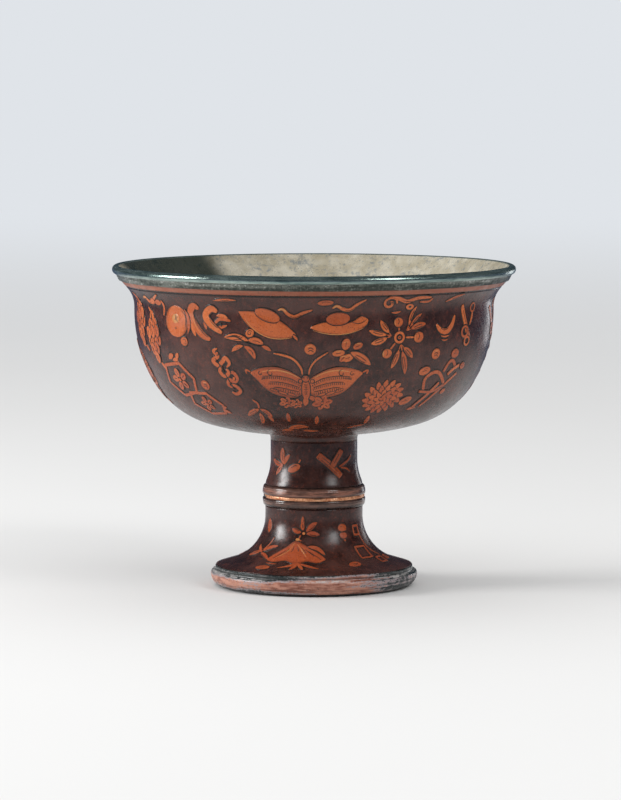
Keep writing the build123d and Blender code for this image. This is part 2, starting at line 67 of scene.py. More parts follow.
# Lining: how far inside the wall it lies, its sheet, and the roll at the rim
LINER_DEPTH = 5.0
LINER_THICKNESS = 0.8
LINER_SIDE = (48.0, 27)
LINER_LIP = (12.0, -34)
WIRE_RADIUS = 0.8
ROLL_RADIUS = 1.6
ROLL_OFFSET = (1.1, 3.3)

# Painted shade inside the lining, a dark patch that stands for shade on the wall: the middle of the patch, in degrees
# to the right of the front, how far it reaches to each side, and the height in millimetres above which it lies
PAINTED_SHADE_MIDDLE = -120.0
PAINTED_SHADE_REACH = 28.0
PAINTED_SHADE_LEVEL = 106.0

# Red border under the rim and the groove below it, measured down from the lip
BORDER_TOP = 0.35
BORDER_WIDTH = 2.8
GROOVE_WIDTH = 0.9
GROOVE_DEPTH = 0.2

# Foot, beads and gilt band
REST_RADIUS = 33.95
FOOT_ROLL = 4.65
FOOT_TOP_ROUND = 1.5
FOOT_RING_HEIGHT = 1.0
FOOT_BORE = 31.9
SHOULDER_HEIGHT = 1.25
SHOULDER_CHAMFER = 0.5
STEM_TOP = (18.19, 29.98)
BEAD_LEVELS = (29.98, 33.48, 34.18, 38.08)
BEAD_RADII = (18.19, 18.59, 18.59, 18.09)
BEAD_SWELL = 19.14
CORE_RADIUS = 17.09

# What a face of an inlay is made of, as a place in its piece's list of materials
# The third finish is pale gold lines, mostly along one side of a motif: partly gilt and partly painted highlight
FILL, LINE, GILT_AND_HIGHLIGHT = 0, 1, 2


# Outlines

def run_length(size, turn):
    return size if turn == 0 else size * math.radians(abs(turn))


def outline_length(outline):
    return sum(run_length(size, turn) for size, turn in outline[2])


def follow(outline, distance, lift=0.0):
    """Radius, height and heading at distances along an outline, lifted off it outwards.

    Each move adds its own run, up to its length: a straight run adds part * (cos h, sin h), and an
    arc of radius R from heading h to g adds R * (sin g - sin h, cos h - cos g).
    """
    start, heading_degrees, moves = outline
    distance = np.asarray(distance, float)
    radius = np.full(distance.shape, float(start[0]))
    height = np.full(distance.shape, float(start[1]))
    heading = np.full(distance.shape, math.radians(heading_degrees))
    walked = 0.0
    for size, turn in moves:
        length = run_length(size, turn)
        part = np.clip(distance - walked, 0.0, length)
        if turn == 0:
            radius += part * np.cos(heading)
            height += part * np.sin(heading)
        else:
            after = heading + math.radians(turn) * part / length
            signed = math.copysign(size, turn)
            radius += signed * (np.sin(after) - np.sin(heading))
            height -= signed * (np.cos(after) - np.cos(heading))
            heading = after
        walked += length
    return radius + lift * np.sin(heading), height - lift * np.cos(heading), heading


def outline_end(outline):
    radius, height, _ = follow(outline, outline_length(outline))
    return float(radius), float(height)


def lining_outline():
    """The lining's outer face from the floor to the rim. Its two straight runs solve a pair of
    linear equations, so that it meets the roll at the rim."""
    radius, height, heading = follow(BOWL_OUTLINE, NECK_COVE, -LINER_DEPTH)
    start = (float(radius), float(height))
    floor_moves = ((96.0 - LINER_DEPTH, 13), (33.0 - LINER_DEPTH, 41), LINER_SIDE)
    side = outline_end((start, 3.0, floor_moves))
    side_heading = 3.0 + sum(turn for _, turn in floor_moves)
    bend = outline_end(((0.0, 0.0), side_heading, (LINER_LIP,)))
    lip = outline_end(BOWL_OUTLINE)
    end = inside_of((lip[0] + ROLL_OFFSET[0], lip[1] + ROLL_OFFSET[1]), WIRE_RADIUS)
    ways = np.radians([side_heading, LIP_HEADING])
    matrix = np.array([np.cos(ways), np.sin(ways)])
    gap = np.array(end) - np.array(side) - np.array(bend)
    side_run, lip_run = np.linalg.solve(matrix, gap)
    return start, 3.0, floor_moves + ((float(side_run), 0), LINER_LIP, (float(lip_run), 0))


def inside_of(point, inset):
    """A point moved inwards from the lip's heading by the inset."""
    heading = math.radians(LIP_HEADING)
    return point[0] - inset * math.sin(heading), point[1] + inset * math.cos(heading)


# Walls that carry inlays: outline, the distance where climb starts, and the radius that turns
# millimetres to the side into an angle

BOWL_WALL = (BOWL_OUTLINE, NECK_COVE, 67.0)
COLUMN_WALL = (COLUMN_OUTLINE, 0.0, 16.4)
FOOT_WALL = (FOOT_OUTLINE, 0.0, 22.0)


def on_wall(wall, place, flat, lift):
    """Points on a wall from flat ones. Place is (angle, climb, lean), flat holds millimetres to the
    right and up: the angle grows by right / reference radius and the distance along the outline by
    up, after the lean has turned both, and lift raises each point along the wall's normal."""
    outline, base, reference = wall
    angle, climb, lean = place
    across, up = np.cos(lean), np.sin(lean)
    right = flat[..., 0] * across - flat[..., 1] * up
    above = flat[..., 0] * up + flat[..., 1] * across
    radius, height, _ = follow(outline, base + climb + above, lift)
    turn = angle + right / reference
    return np.stack([radius * np.sin(turn), -radius * np.cos(turn), height], axis=-1)


# Meshes

class Pile:
    """Closed shells piled into one mesh, each a grid of points that closes on itself."""

    def __init__(self):
        self.points, self.quads, self.triangles = [], [], []
        self.quad_finish, self.triangle_finish = [], []
        self.marks = {}
        self.count = 0

    def add(self, grid, ring=False, finish=0, **marks):
        """Add a grid of rows by columns. Its columns close all round, and its rows close on each
        other in a ring or else run to a point at both ends. Shells that come out with a negative
        volume, the sum of a . (b x c) over their triangles, are turned."""
        rows, columns = grid.shape[:2]
        points = grid.reshape(-1, 3)
        row = np.arange(rows if ring else rows - 1)[:, None]
        column = np.arange(columns)[None, :]
        after, beside = (row + 1) % rows, (column + 1) % columns
        quads = np.stack(
            [row * columns + column, row * columns + beside, after * columns + beside, after * columns + column],
            axis=-1,
        ).reshape(-1, 4)
        triangles = np.zeros((0, 3), int)
        if not ring:
            first, last = len(points), len(points) + 1
            points = np.concatenate([points, [grid[0].mean(0), grid[-1].mean(0)]])
            here, there = column[0], beside[0]
            low = np.stack([np.full(columns, first), there, here], axis=-1)
            top = (rows - 1) * columns
            high = np.stack([np.full(columns, last), top + here, top + there], axis=-1)
            triangles = np.concatenate([low, high])
        corners = points - points.mean(0)
        halves = np.concatenate([quads[:, :3], quads[:, [0, 2, 3]], triangles])
        a, b, c = (corners[halves[:, k]] for k in range(3))
        if np.einsum("ij,ij->", a, np.cross(b, c)) < 0:
            quads, triangles = quads[:, ::-1], triangles[:, ::-1]
        self.points.append(points)
        self.quads.append(quads + self.count)
        self.triangles.append(triangles + self.count)
        self.quad_finish.append(np.full(len(quads), finish))
        self.triangle_finish.append(np.full(len(triangles), finish))
        for name in set(self.marks) | set(marks):
            values = marks.get(name, 0.0)
            spread = np.broadcast_to(values, (rows, columns)).reshape(-1)
            ends = [] if ring else [spread[0], spread[-1]]
            earlier = self.marks.setdefault(name, [np.zeros(self.count)])
            earlier.append(np.concatenate([spread, ends]))
        self.count += len(points)

    def write(self, name, materials, marks=()):
        """The mesh object, with its points in metres and its marks as vertex attributes."""
        points = np.concatenate(self.points) * MM
        quads, triangles = np.concatenate(self.quads), np.concatenate(self.triangles)
        corners = np.concatenate([quads.ravel(), triangles.ravel()]).astype(np.int32)
        sizes = np.concatenate([np.full(len(quads), 4), np.full(len(triangles), 3)]).astype(np.int32)
        starts = (np.cumsum(sizes) - sizes).astype(np.int32)
        finish = np.concatenate(self.quad_finish + self.triangle_finish).astype(np.int32)
        mesh = bpy.data.meshes.new(name)
        mesh.vertices.add(len(points))
        mesh.vertices.foreach_set("co", points.astype(np.float32).ravel())
        mesh.loops.add(len(corners))
        mesh.loops.foreach_set("vertex_index", corners)
        mesh.polygons.add(len(sizes))
        mesh.polygons.foreach_set("loop_start", starts)
        mesh.polygons.foreach_set("loop_total", sizes)
        mesh.polygons.foreach_set("material_index", finish)
        mesh.polygons.foreach_set("use_smooth", np.ones(len(sizes), bool))
        for mark in marks:
            values = np.concatenate(self.marks[mark]).astype(np.float32)
            mesh.attributes.new(mark, "FLOAT", "POINT").data.foreach_set("value", values)
        for material in materials:
            mesh.materials.append(material)
        mesh.update(calc_edges=True)
        mesh.validate()
        piece = bpy.data.objects.new(name, mesh)
        bpy.context.scene.collection.objects.link(piece)
        return piece


def grain(rows, columns, row_size, column_size, seed):
    """Smooth noise from -1 to 1 that meets itself all round: white noise times a Gaussian in its
    Fourier transform, with sizes in steps of the grid."""
    white = np.random.default_rng(seed).standard_normal((rows, columns))
    row_wave = np.fft.fftfreq(rows)[:, None] * row_size
    column_wave = np.fft.fftfreq(columns)[None, :] * column_size
    shade = np.exp(-math.pi ** 2 * (row_wave ** 2 + column_wave ** 2))
    smooth = np.fft.ifft2(np.fft.fft2(white) * shade).real
    return smooth / np.abs(smooth).max()


def turned(profile, segments, swell=0.0):
    """A profile of (radius, height) turned about the axis: each point of it goes round a circle,
    moved along the profile's own normal by the swell, which may differ all round."""
    along = np.gradient(profile, axis=0)
    along /= np.linalg.norm(along, axis=1, keepdims=True) + 1e-12
    normal = np.stack([along[:, 1], -along[:, 0]], axis=-1)
    moved = profile[:, None, :] + normal[:, None, :] * np.broadcast_to(swell, (len(profile), segments))[..., None]
    angle = np.linspace(0.0, FULL_TURN, segments, endpoint=False)
    radius, height = moved[..., 0], moved[..., 1]
    return np.stack([radius * np.sin(angle), -radius * np.cos(angle), height], axis=-1)


def polyline(points, step):
    """Points along straight runs, about a step apart."""
    runs = []
    for here, there in zip(points[:-1], points[1:]):
        count = max(2, int(math.dist(here, there) / step))
        runs.append(np.linspace(here, there, count, endpoint=False))
    return np.concatenate(runs + [[points[-1]]])


def coat_profile(outline, thickness, outer, lift=0.0):
    """A closed profile: up the outline at the outer distances, and down its inside."""
    radius, height, _ = follow(outline, outer, lift)
    inner_radius, inner_height, _ = follow(outline, outer[::-3], -thickness)
    return np.concatenate([np.stack([radius, height], -1), np.stack([inner_radius, inner_height], -1)])


# Inlays: flat shapes in millimetres. A shape is (left edge, right edge, closed, finish, level).

LEAF_STEPS = 20
LINE_STEPS = 12


def strip(middle, half, closed=False, finish=FILL, level=0):
    """A band along a middle line: its edges lie half a width to each side of it."""
    if closed:
        along = np.roll(middle, -1, axis=0) - np.roll(middle, 1, axis=0)
    else:
        along = np.gradient(middle, axis=0)
    along = along / (np.linalg.norm(along, axis=1, keepdims=True) + 1e-9)
    side = np.stack([-along[:, 1], along[:, 0]], axis=-1) * np.broadcast_to(half, len(middle))[:, None]
    return middle + side, middle - side, closed, finish, level


def leaf(start, end, width, bow=0.0, blunt=0.8, finish=FILL, level=0, steps=LEAF_STEPS):
    """A leaf: its middle line is a parabola bowed by bow, and its half width is width / 2 times
    (1 - t^2) to the power blunt, for t from -1 to 1."""
    t = np.sin(np.linspace(-HALF_TURN / 2, HALF_TURN / 2, steps))
    start, end = np.array(start, float), np.array(end, float)
    along = (end - start) / 2
    side = np.array([-along[1], along[0]]) / (np.linalg.norm(along) + 1e-9)
    arch = 1 - t ** 2
    middle = (start + end) / 2 + along * t[:, None] + side * bow * arch[:, None]
    return strip(middle, width / 2 * arch ** blunt, False, finish, level)


def lens(start, end, left, right, finish=FILL, level=0):
    """A region between two parabolas from start to end, bowed to the left and to the right."""
    return leaf(start, end, left + right, (left - right) / 2, 0.9, finish, level, 2 * LEAF_STEPS)


def oval(x, y, length, width, turn=0.0, finish=FILL, level=0):
    """An ellipse, as a leaf whose half width goes by the square root of 1 - t^2."""
    across = length / 2 * math.cos(math.radians(turn))
    up = length / 2 * math.sin(math.radians(turn))
    return leaf((x - across, y - up), (x + across, y + up), width, 0.0, 0.5, finish, level)


def curve(points, count):
    """A smooth line through points: cubic pieces whose slope at each point is half the step
    between its neighbours."""
    points = np.array(points, float)
    padded = np.concatenate([[2 * points[0] - points[1]], points, [2 * points[-1] - points[-2]]])
    place = np.linspace(0, len(points) - 1, count)
    index = np.minimum(place.astype(int), len(points) - 2)
    t = (place - index)[:, None]
    a, b, c, d = (padded[index + k] for k in range(4))
    return 0.5 * (2 * b + (c - a) * t + (2 * a - 5 * b + 4 * c - d) * t ** 2 + (3 * b - a - 3 * c + d) * t ** 3)


def ribbon(points, width, finish=FILL, level=0, taper=0.35, steps=None):
    """A band along a smooth line, with its ends rounded over a share of its length, the taper."""
    count = steps or 8 * len(points)
    share = np.linspace(0, 1, count)
    ease = np.clip(np.minimum(share, 1 - share) / max(taper, 1e-3), 0, 1)
    half = width / 2 * np.sqrt(1 - (1 - ease) ** 2)
    return strip(curve(points, count), half, False, finish, level)


def line(points, width=0.36, level=0, finish=LINE):
    """A fine incised line that is drawn over the fills."""
    return ribbon(points, width, finish, level, 0.3, LINE_STEPS if len(points) < 4 else 6 * len(points))


def panel(left, right, finish=FILL, level=0, steps=2 * LEAF_STEPS):
    """A region between two smooth lines that share both ends."""
    return curve(left, steps), curve(right, steps), False, finish, level


def hoop(x, y, wide, tall, width, finish=FILL, level=0, turn=0.0):
    """A closed band round an ellipse."""
    angle = np.linspace(0, FULL_TURN, 2 * LEAF_STEPS, endpoint=False)
    lean = math.radians(turn)
    across, up = wide * np.cos(angle), tall * np.sin(angle)
    middle = np.stack(
        [x + across * math.cos(lean) - up * math.sin(lean), y + across * math.sin(lean) + up * math.cos(lean)], -1
    )
    return strip(middle, width / 2, True, finish, level)


def frame_band(corners, width, level=0):
    """A closed band with straight sides."""
    closed = list(corners) + [corners[0]]
    middle = np.concatenate(
        [np.linspace(a, b, 8, endpoint=False) for a, b in zip(closed[:-1], closed[1:])]
    )
    return strip(middle, width / 2, True, FILL, level)


def veins(start, end, count, spread, width=0.3, level=0):
    """Fine lines that fan out from the root of a leaf towards its tip."""
    start, end = np.array(start, float), np.array(end, float)
    along = end - start
    side = np.array([-along[1], along[0]])
    lines = []
    for share in np.linspace(-spread, spread, count):
        root = start + along * 0.12 + side * share * 0.3
        middle = start + along * 0.5 + side * share
        tip = start + along * 0.86 + side * share * 0.45
        lines.append(line([root, middle, tip], width, level))
    return lines


def veined_leaf(start, end, width, bow=0.0, level=0, count=2):
    """A leaf with its veins and a light edge."""
    length = math.dist(start, end)
    return [leaf(start, end, width, bow, 0.75, FILL, level)] + veins(start, end, count, 0.2 * width / length, 0.28, level)


def pearl(x, y, radius, level=0):
    """A round bead with two crescent lines."""
    arc = [(x - 0.55 * radius, y - 0.1 * radius), (x + 0.1 * radius, y + 0.25 * radius), (x + 0.7 * radius, y - 0.2 * radius)]
    low = [(px, py - 0.42 * radius) for px, py in arc]
    return [
        oval(x, y, 2 * radius, 2 * radius, 0, FILL, level),
        line(arc, 0.34, level),
        line(low, 0.3, level),
        leaf((x - 0.6 * radius, y + 0.35 * radius), (x + 0.5 * radius, y + 0.6 * radius), 0.3, 0.2, 0.7, GILT_AND_HIGHLIGHT, level),
    ]


def scroll(x, y, radius, turns, width, start=0.0, finish=FILL, level=0):
    """A spiral band, whose radius shrinks evenly with its angle."""
    share = np.linspace(0, 1, 10)
    angle = math.radians(start) + share * turns * FULL_TURN
    reach = radius * (1 - 0.85 * share)
    points = np.stack([x + reach * np.cos(angle), y + reach * np.sin(angle)], -1)
    return ribbon(points, width, finish, level, 0.12)


def left_ingot():
    hull = lens((-10.8, 4.7), (10.6, -3.4), 3.0, 4.6)
    return [
        hull,
        leaf((-8.6, 2.6), (9.4, -4.2), 0.34, -3.4, 0.4, GILT_AND_HIGHLIGHT),
        oval(0.1, 3.6, 9.6, 4.4, -20, FILL, 1),
        leaf((9.2, -3.4), (11.0, -5.4), 1.0, 0.2, 0.8, FILL, 1),
    ]


def right_ingot():
    return [
        panel(
            [(-10.5, -0.7), (-5.6, 1.0), (-2.0, 1.0), (2.0, 0.6), (5.4, 1.4), (8.6, 3.2), (11.3, 2.0)],
            [(-10.5, -0.7), (-6.0, -2.4), (-1.0, -3.1), (4.0, -3.0), (8.2, -1.4), (10.6, 0.2), (11.3, 2.0)],
        ),
        leaf((-9.0, -1.6), (9.6, -0.9), 0.3, -2.0, 0.4, GILT_AND_HIGHLIGHT),
        oval(0.1, 2.4, 8.6, 4.6, 4, FILL, 1),
        line([(4.6, 1.4), (7.6, 0.6), (10.8, 2.0)], 0.24, 1),
    ]


def coin():
    shapes = [oval(0, 0, 11.6, 12.2, 80)]
    shapes += [line([(2.0, 5.0), (5.0, 1.6), (4.6, -3.0)], 0.3), line([(3.4, 4.6), (6.4, 0.6), (5.2, -4.0)], 0.3)]
    shapes += [leaf((4.4, 4.6), (5.9, -4.4), 1.6, 1.4, 0.8, FILL, 1)]
    shapes += [oval(-0.2, 1.0, 3.4, 4.2, 90, GILT_AND_HIGHLIGHT), line([(-0.6, 3.0), (-0.2, 1.4), (-1.0, 0.0)], 0.5)]
    shapes += [line([(0.8, 2.4), (0.3, 0.8), (1.0, -0.6)], 0.4), line([(-0.6, -2.0), (-0.1, -2.9)], 0.5)]
    shapes += [oval(3.6, -7.2, 3.6, 3.4, 0, FILL, 1), line([(2.6, -6.6), (4.2, -6.4), (4.6, -7.8), (3.4, -8.2)], 0.22, 1)]
    return shapes


def horns():
    return [
        ribbon([(-0.4, 5.4), (-2.9, 6.6), (-4.9, 4.0), (-3.0, 0.2), (0.6, -3.8), (4.6, -5.6)], 3.0),
        line([(-3.6, 4.2), (-1.8, 0.2), (1.4, -3.4), (3.8, -4.8)], 0.3),
        ribbon([(-4.4, 4.6), (-2.6, 0.0), (0.4, -4.0)], 0.3, GILT_AND_HIGHLIGHT),
        ribbon([(7.8, 4.6), (5.0, 5.9), (2.3, 3.4), (4.6, 0.2), (9.9, -3.2)], 2.8, FILL, 1),
        line([(3.4, 3.0), (5.2, 0.6), (8.6, -1.6)], 0.3, 1),
        leaf((-4.2, 1.6), (-2.4, -4.6), 1.8, -0.4),
        leaf((1.4, 1.2), (2.6, -1.8), 1.4, 0.2),
        ribbon([(3.2, 3.6), (5.0, 0.6), (8.4, -2.2)], 0.26, GILT_AND_HIGHLIGHT, 1),
        ribbon([(6.0, 0.2), (8.6, 2.2), (13.4, 1.6)], 1.3),
        leaf((7.0, 3.4), (11.8, 2.6), 1.5, 0.4, 0.8, FILL),
        leaf((6.6, -0.6), (11.6, 0.2), 1.2, -0.5),
        line([(7.6, 0.4), (9.0, 0.6), (9.2, -1.0)], 0.4),
    ]


def branch():
    shapes = [leaf((-6.9, 1.2), (2.8, 0.2), 2.6, 0.7, 0.8)]
    shapes += [line([(-5.4, 1.5), (-2.2, 2.0), (1.6, 0.8)], 0.26), line([(-3.8, 0.4), (-0.8, 0.6), (1.8, 0.1)], 0.22)]
    shapes += [oval(3.4, 3.0, 3.4, 2.9, 30, FILL, 1), scroll(3.4, 3.0, 1.1, 1.2, 0.26, 20, LINE, 1)]
    shapes += [leaf((2.8, 0.4), (8.4, -0.8), 2.4, 0.5, 0.7, FILL, 1), line([(3.8, 0.2), (6.0, 0.2), (7.6, -0.6)], 0.24, 1)]
    shapes += [leaf((7.8, -1.6), (11.2, -3.4), 1.5, 0.2)]
    shapes += [leaf((0.6, -1.7), (-4.2, -4.0), 1.7, -0.5), leaf((1.0, -1.9), (4.8, -6.6), 2.2, 0.9, 0.7)]
    shapes += [line([(-0.6, -2.2), (-2.4, -3.0)], 0.2), line([(2.0, -2.6), (3.8, -3.8), (4.4, -5.6)], 0.24)]
    shapes += [ribbon([(-6.6, 1.2), (-2.2, 1.6), (2.2, -0.6), (8.0, -1.8)], 0.5, LINE, 1)]
    return shapes


def ribbon_tie():
    return [
        ribbon([(-6.2, 0.9), (-4.2, 1.4), (-2.4, -0.4), (0.0, -1.3), (3.2, 0.1), (6.8, 1.3)], 1.25),
        ribbon([(-5.8, 1.1), (-4.2, 1.4), (-2.8, 0.2)], 0.7, GILT_AND_HIGHLIGHT, 0, 0.4),
        line([(-2.4, -0.9), (0.2, -1.6), (3.4, -0.2)], 0.2),
    ]


def cloud():
    shapes = [scroll(-7.6, 0.4, 3.0, 1.3, 1.0, -10)]
    shapes += [ribbon([(-8.8, 3.2), (-5.0, 2.6), (-1.0, 1.0), (3.4, 2.4), (9.6, 2.4)], 1.7)]
    shapes += [ribbon([(4.0, 0.6), (8.2, 0.6), (9.8, 2.2)], 1.0, FILL, 1), line([(-4.0, 1.6), (0.6, 0.8), (4.6, 1.6)], 0.3)]
    shapes += [oval(0.7, -1.3, 3.2, 2.4, 0, FILL, 1), oval(0.7, -1.3, 1.2, 0.9, 0, LINE, 1)]
    shapes += [line([(-8.0, 1.0), (-6.4, 0.6), (-6.8, -0.4)], 0.3), leaf((-6.6, -3.2), (-2.6, -2.8), 0.8, -0.4)]
    return shapes


def wisp():
    return [leaf((-4.6, -0.9), (4.6, 0.9), 1.3, 0.3), line([(-2.0, -0.4), (2.4, 0.6)], 0.2)]


def hook():
    return [
        leaf((-3.0, 1.6), (1.4, 1.8), 2.4, 0.2),
        ribbon([(1.4, 3.0), (2.6, 0.8), (2.2, -3.2)], 1.1),
        oval(-4.4, 2.2, 3.0, 2.6, 10, FILL, 1),
    ]


def bud_wheel():
    shapes = [hoop(0, 0, 1.75, 1.75, 0.95), oval(0, 0, 1.3, 1.3), oval(0, 0, 0.5, 0.5, 0, LINE, 1)]
    for x, y, radius in ((-0.6, 5.5, 1.8), (8.2, -0.2, 2.1), (-4.6, -5.8, 1.9)):
        reach = math.hypot(x, y)
        root, neck = 2.4 / reach, (reach - 0.9 * radius) / reach
        shapes += [ribbon([(x * root, y * root), (x * neck, y * neck)], 0.75)]
        shapes += [oval(x, y, 2 * radius, 1.9 * radius, 20, FILL, 1)]
        shapes += [line([(x - 0.2 * radius, y + 0.9 * radius), (x + 0.15 * radius, y + 0.1 * radius), (x - 0.3 * radius, y - 0.6 * radius)], 0.26, 1)]
        shapes += [leaf((x - 0.7 * radius, y + 0.5 * radius), (x - 0.6 * radius, y - 0.6 * radius), 0.4, -0.3, 0.7, GILT_AND_HIGHLIGHT, 1)]
    for root, tips in (
        ((-3.3, 0.6), ((-12.1, 2.9, 2.0), (-11.1, -2.0, 2.3), (-7.6, 6.4, 2.2))),
        ((2.8, 2.4), ((6.7, 11.2, 1.5), (9.4, 8.4, 1.3), (11.2, 4.6, 2.3))),
        ((0.8, -2.6), ((-2.2, -11.6, 2.2), (4.4, -14.2, 2.4), (6.4, -7.8, 2.3))),
    ):
        for x, y, width in tips:
            start = (root[0] + 0.22 * (x - root[0]), root[1] + 0.22 * (y - root[1]))
            shapes += veined_leaf(start, (x, y), width, 0.3)
            shapes += [ribbon([root, start], 0.45)]
    return shapes


def crescent():
    return [
        ribbon([(-5.0, 2.0), (-2.6, -0.4), (0.6, -1.0), (3.2, 1.0), (5.2, 5.0)], 2.2, FILL, 0, 0.45),
        line([(-3.2, 0.8), (-0.6, -0.5), (2.2, 0.6)], 0.26),
        leaf((-2.4, -2.4), (2.4, -2.4), 0.7, -0.5),
        leaf((-1.8, -3.8), (1.8, -3.8), 0.6, -0.5),
    ]


def tassel():
    return [
        ribbon([(-2.0, 9.2), (-0.6, 5.0), (1.2, 0.6), (4.8, -5.0)], 2.2, FILL, 0, 0.25),
        line([(-1.2, 7.6), (0.4, 3.2), (3.4, -2.6)], 0.34),
        hoop(0.6, -1.2, 2.0, 1.9, 0.9, FILL, 1),
        hoop(2.6, -4.8, 1.6, 1.5, 0.8, FILL, 1),
        leaf((5.6, 6.4), (3.4, 1.0), 1.1, 0.4),
        hoop(5.4, 7.4, 1.5, 1.6, 0.7),
    ]


def blossom():
    shapes = []
    for x, y, length, width, turn in (
        (-0.5, 2.6, 4.2, 3.3, 75), (3.9, 1.9, 3.8, 2.4, 22), (-3.2, -0.7, 4.6, 2.4, 8),
        (0.3, -2.5, 4.2, 3.0, 20), (-1.6, -2.7, 3.0, 2.0, 50),
    ):
        shapes += [oval(x, y, length, width, turn)]
        across, up = math.cos(math.radians(turn)), math.sin(math.radians(turn))
        shapes += [line([(x - 1.3 * across, y - 1.3 * up), (x + 1.2 * across, y + 1.2 * up)], 0.2)]
        shapes += [leaf((x - 1.2, y + 0.5), (x + 1.2, y + 0.8), 0.28, 0.2, 0.7, GILT_AND_HIGHLIGHT)]
    shapes += veined_leaf((1.2, -0.4), (9.2, -5.4), 2.9, 0.5, 1, 2)
    shapes += [oval(0.1, 0.2, 1.1, 1.1, 0, LINE, 1)]
    return shapes


def wing(hand):
    """Half a butterfly: a panel with a plain upper band, a curl at its tip and rows of fringe."""
    side = np.array([hand, 1.0])
    top = [(0.6, 2.2), (3.2, 4.2), (6.8, 6.2), (11.0, 7.5), (15.4, 7.4), (19.0, 6.6), (22.0, 5.2)]
    hem = [(0.6, 2.2), (0.4, -2.0), (4.6, -4.9), (9.4, -4.6), (13.8, -3.2), (17.2, -0.4), (19.6, 2.6), (22.0, 5.2)]
    band = [(1.6, 0.6), (6.0, 3.0), (10.6, 4.0), (15.0, 4.0), (17.6, 3.6)]
    second = [(1.8, -1.0), (6.0, 0.6), (10.8, 1.6), (15.4, 1.6)]
    third = [(2.0, -2.6), (6.0, -1.7), (10.4, -0.7), (14.0, -0.6)]
    shapes = [panel(np.array(top) * side, np.array(hem) * side)]
    shapes += [leaf(np.array([2.6, 3.2]) * side, np.array([17.6, 5.4]) * side, 0.5, hand * 1.9, 0.5, GILT_AND_HIGHLIGHT)]
    for row in (band, second, third):
        shapes += [line(np.array(row) * side, 0.36)]
    for row, reach, count in ((band, 1.4, 24), (second, 1.3, 19), (third, 1.6, 15)):
        roots = curve(np.array(row) * side, count)[1:-1]
        for x, y in roots:
            shapes += [line([(x, y - 0.12), (x + hand * 0.25, y - reach)], 0.28)]
    shapes += [scroll(hand * 13.6, 5.2, 1.5, 0.9, 0.34, 90, LINE), scroll(hand * 17.6, 5.0, 1.0, 0.9, 0.3, 90, LINE)]
    for x, y, length in ((9.6, -3.0, 4.0), (13.0, -1.8, 3.4), (6.0, -3.6, 3.6)):
        shapes += [hoop(hand * x, y, length / 2, 0.6, 0.28, LINE, 0, hand * 18)]
    shapes += [hoop(hand * 2.3, 2.1, 0.8, 0.8, 0.34, LINE)]
    shapes += [ribbon([(hand * 21.4, 5.4), (hand * 23.4, 6.2), (hand * 23.2, 4.6)], 0.8)]
    return shapes


def butterfly():
    shapes = wing(-1) + wing(1)
    shapes += [oval(-0.2, -1.6, 8.6, 3.4, 90, FILL, 1), line([(-0.2, 1.6), (-0.2, -1.0), (-0.2, -4.8)], 0.2, 1)]
    for row in range(5):
        shapes += [line([(-1.3, 0.9 - row), (-0.2, 0.6 - row), (0.9, 0.9 - row)], 0.18, 1)]
    shapes += [ribbon([(-1.4, 4.4), (-2.0, 7.4), (-4.6, 10.6), (-8.0, 12.0), (-12.4, 12.9)], 0.85, FILL, 1, 0.3)]
    shapes += [ribbon([(0.9, 4.4), (1.6, 7.4), (3.8, 10.4), (8.6, 13.6)], 0.7, FILL, 1, 0.3)]
    shapes += [oval(-0.2, 3.1, 2.6, 2.4, 0, FILL, 2), oval(-0.9, 3.5, 0.6, 0.6, 0, LINE, 2), oval(0.5, 3.5, 0.6, 0.6, 0, LINE, 2)]
    for x, y, reach in ((-8.4, -7.4, 3.4), (-4.4, -7.8, 2.8), (6.4, -7.4, 4.4)):
        for turn in range(0, 360, 60):
            tip = (x + reach * math.cos(math.radians(turn + 15)), y + 0.8 * reach * math.sin(math.radians(turn + 15)))
            shapes += [leaf((x, y), tip, 0.62 * reach, 0.0, 0.6, FILL, turn // 120 % 2)]
            shapes += [line([(0.7 * x + 0.3 * tip[0], 0.7 * y + 0.3 * tip[1]), (0.2 * x + 0.8 * tip[0], 0.2 * y + 0.8 * tip[1])], 0.2, 1)]
        shapes += [oval(x, y, 1.2, 1.1, 0, FILL, 2)]
    shapes += [leaf((-0.6, -4.6), (-0.9, -8.8), 2.4, 0.3, 0.7, FILL, 1), leaf((0.6, -4.4), (3.6, -6.6), 2.0, 0.3, 0.7, FILL, 0)]
    return shapes


def chrysanthemum():
    shapes = []
    for ring, (count, wide, tall, length, width) in enumerate(
        ((16, 6.9, 5.4, 4.6, 2.3), (12, 4.6, 3.5, 4.4, 2.3), (8, 2.4, 1.8, 3.8, 2.0), (3, 0.6, 0.5, 2.6, 1.5))
    ):
        for step in range(count):
            turn = 360 * (step + 0.5 * (ring % 2)) / count
            across, up = math.cos(math.radians(turn)), math.sin(math.radians(turn))
            x, y = wide * across + 0.3, tall * up + 0.1 * wide * across
            inner = (x - 0.5 * length * across, y - 0.5 * length * up)
            outer = (x + 0.5 * length * across, y + 0.5 * length * up + 0.2)
            shapes += [leaf(inner, outer, width, 0.3, 0.65, FILL, ring)]
    return shapes


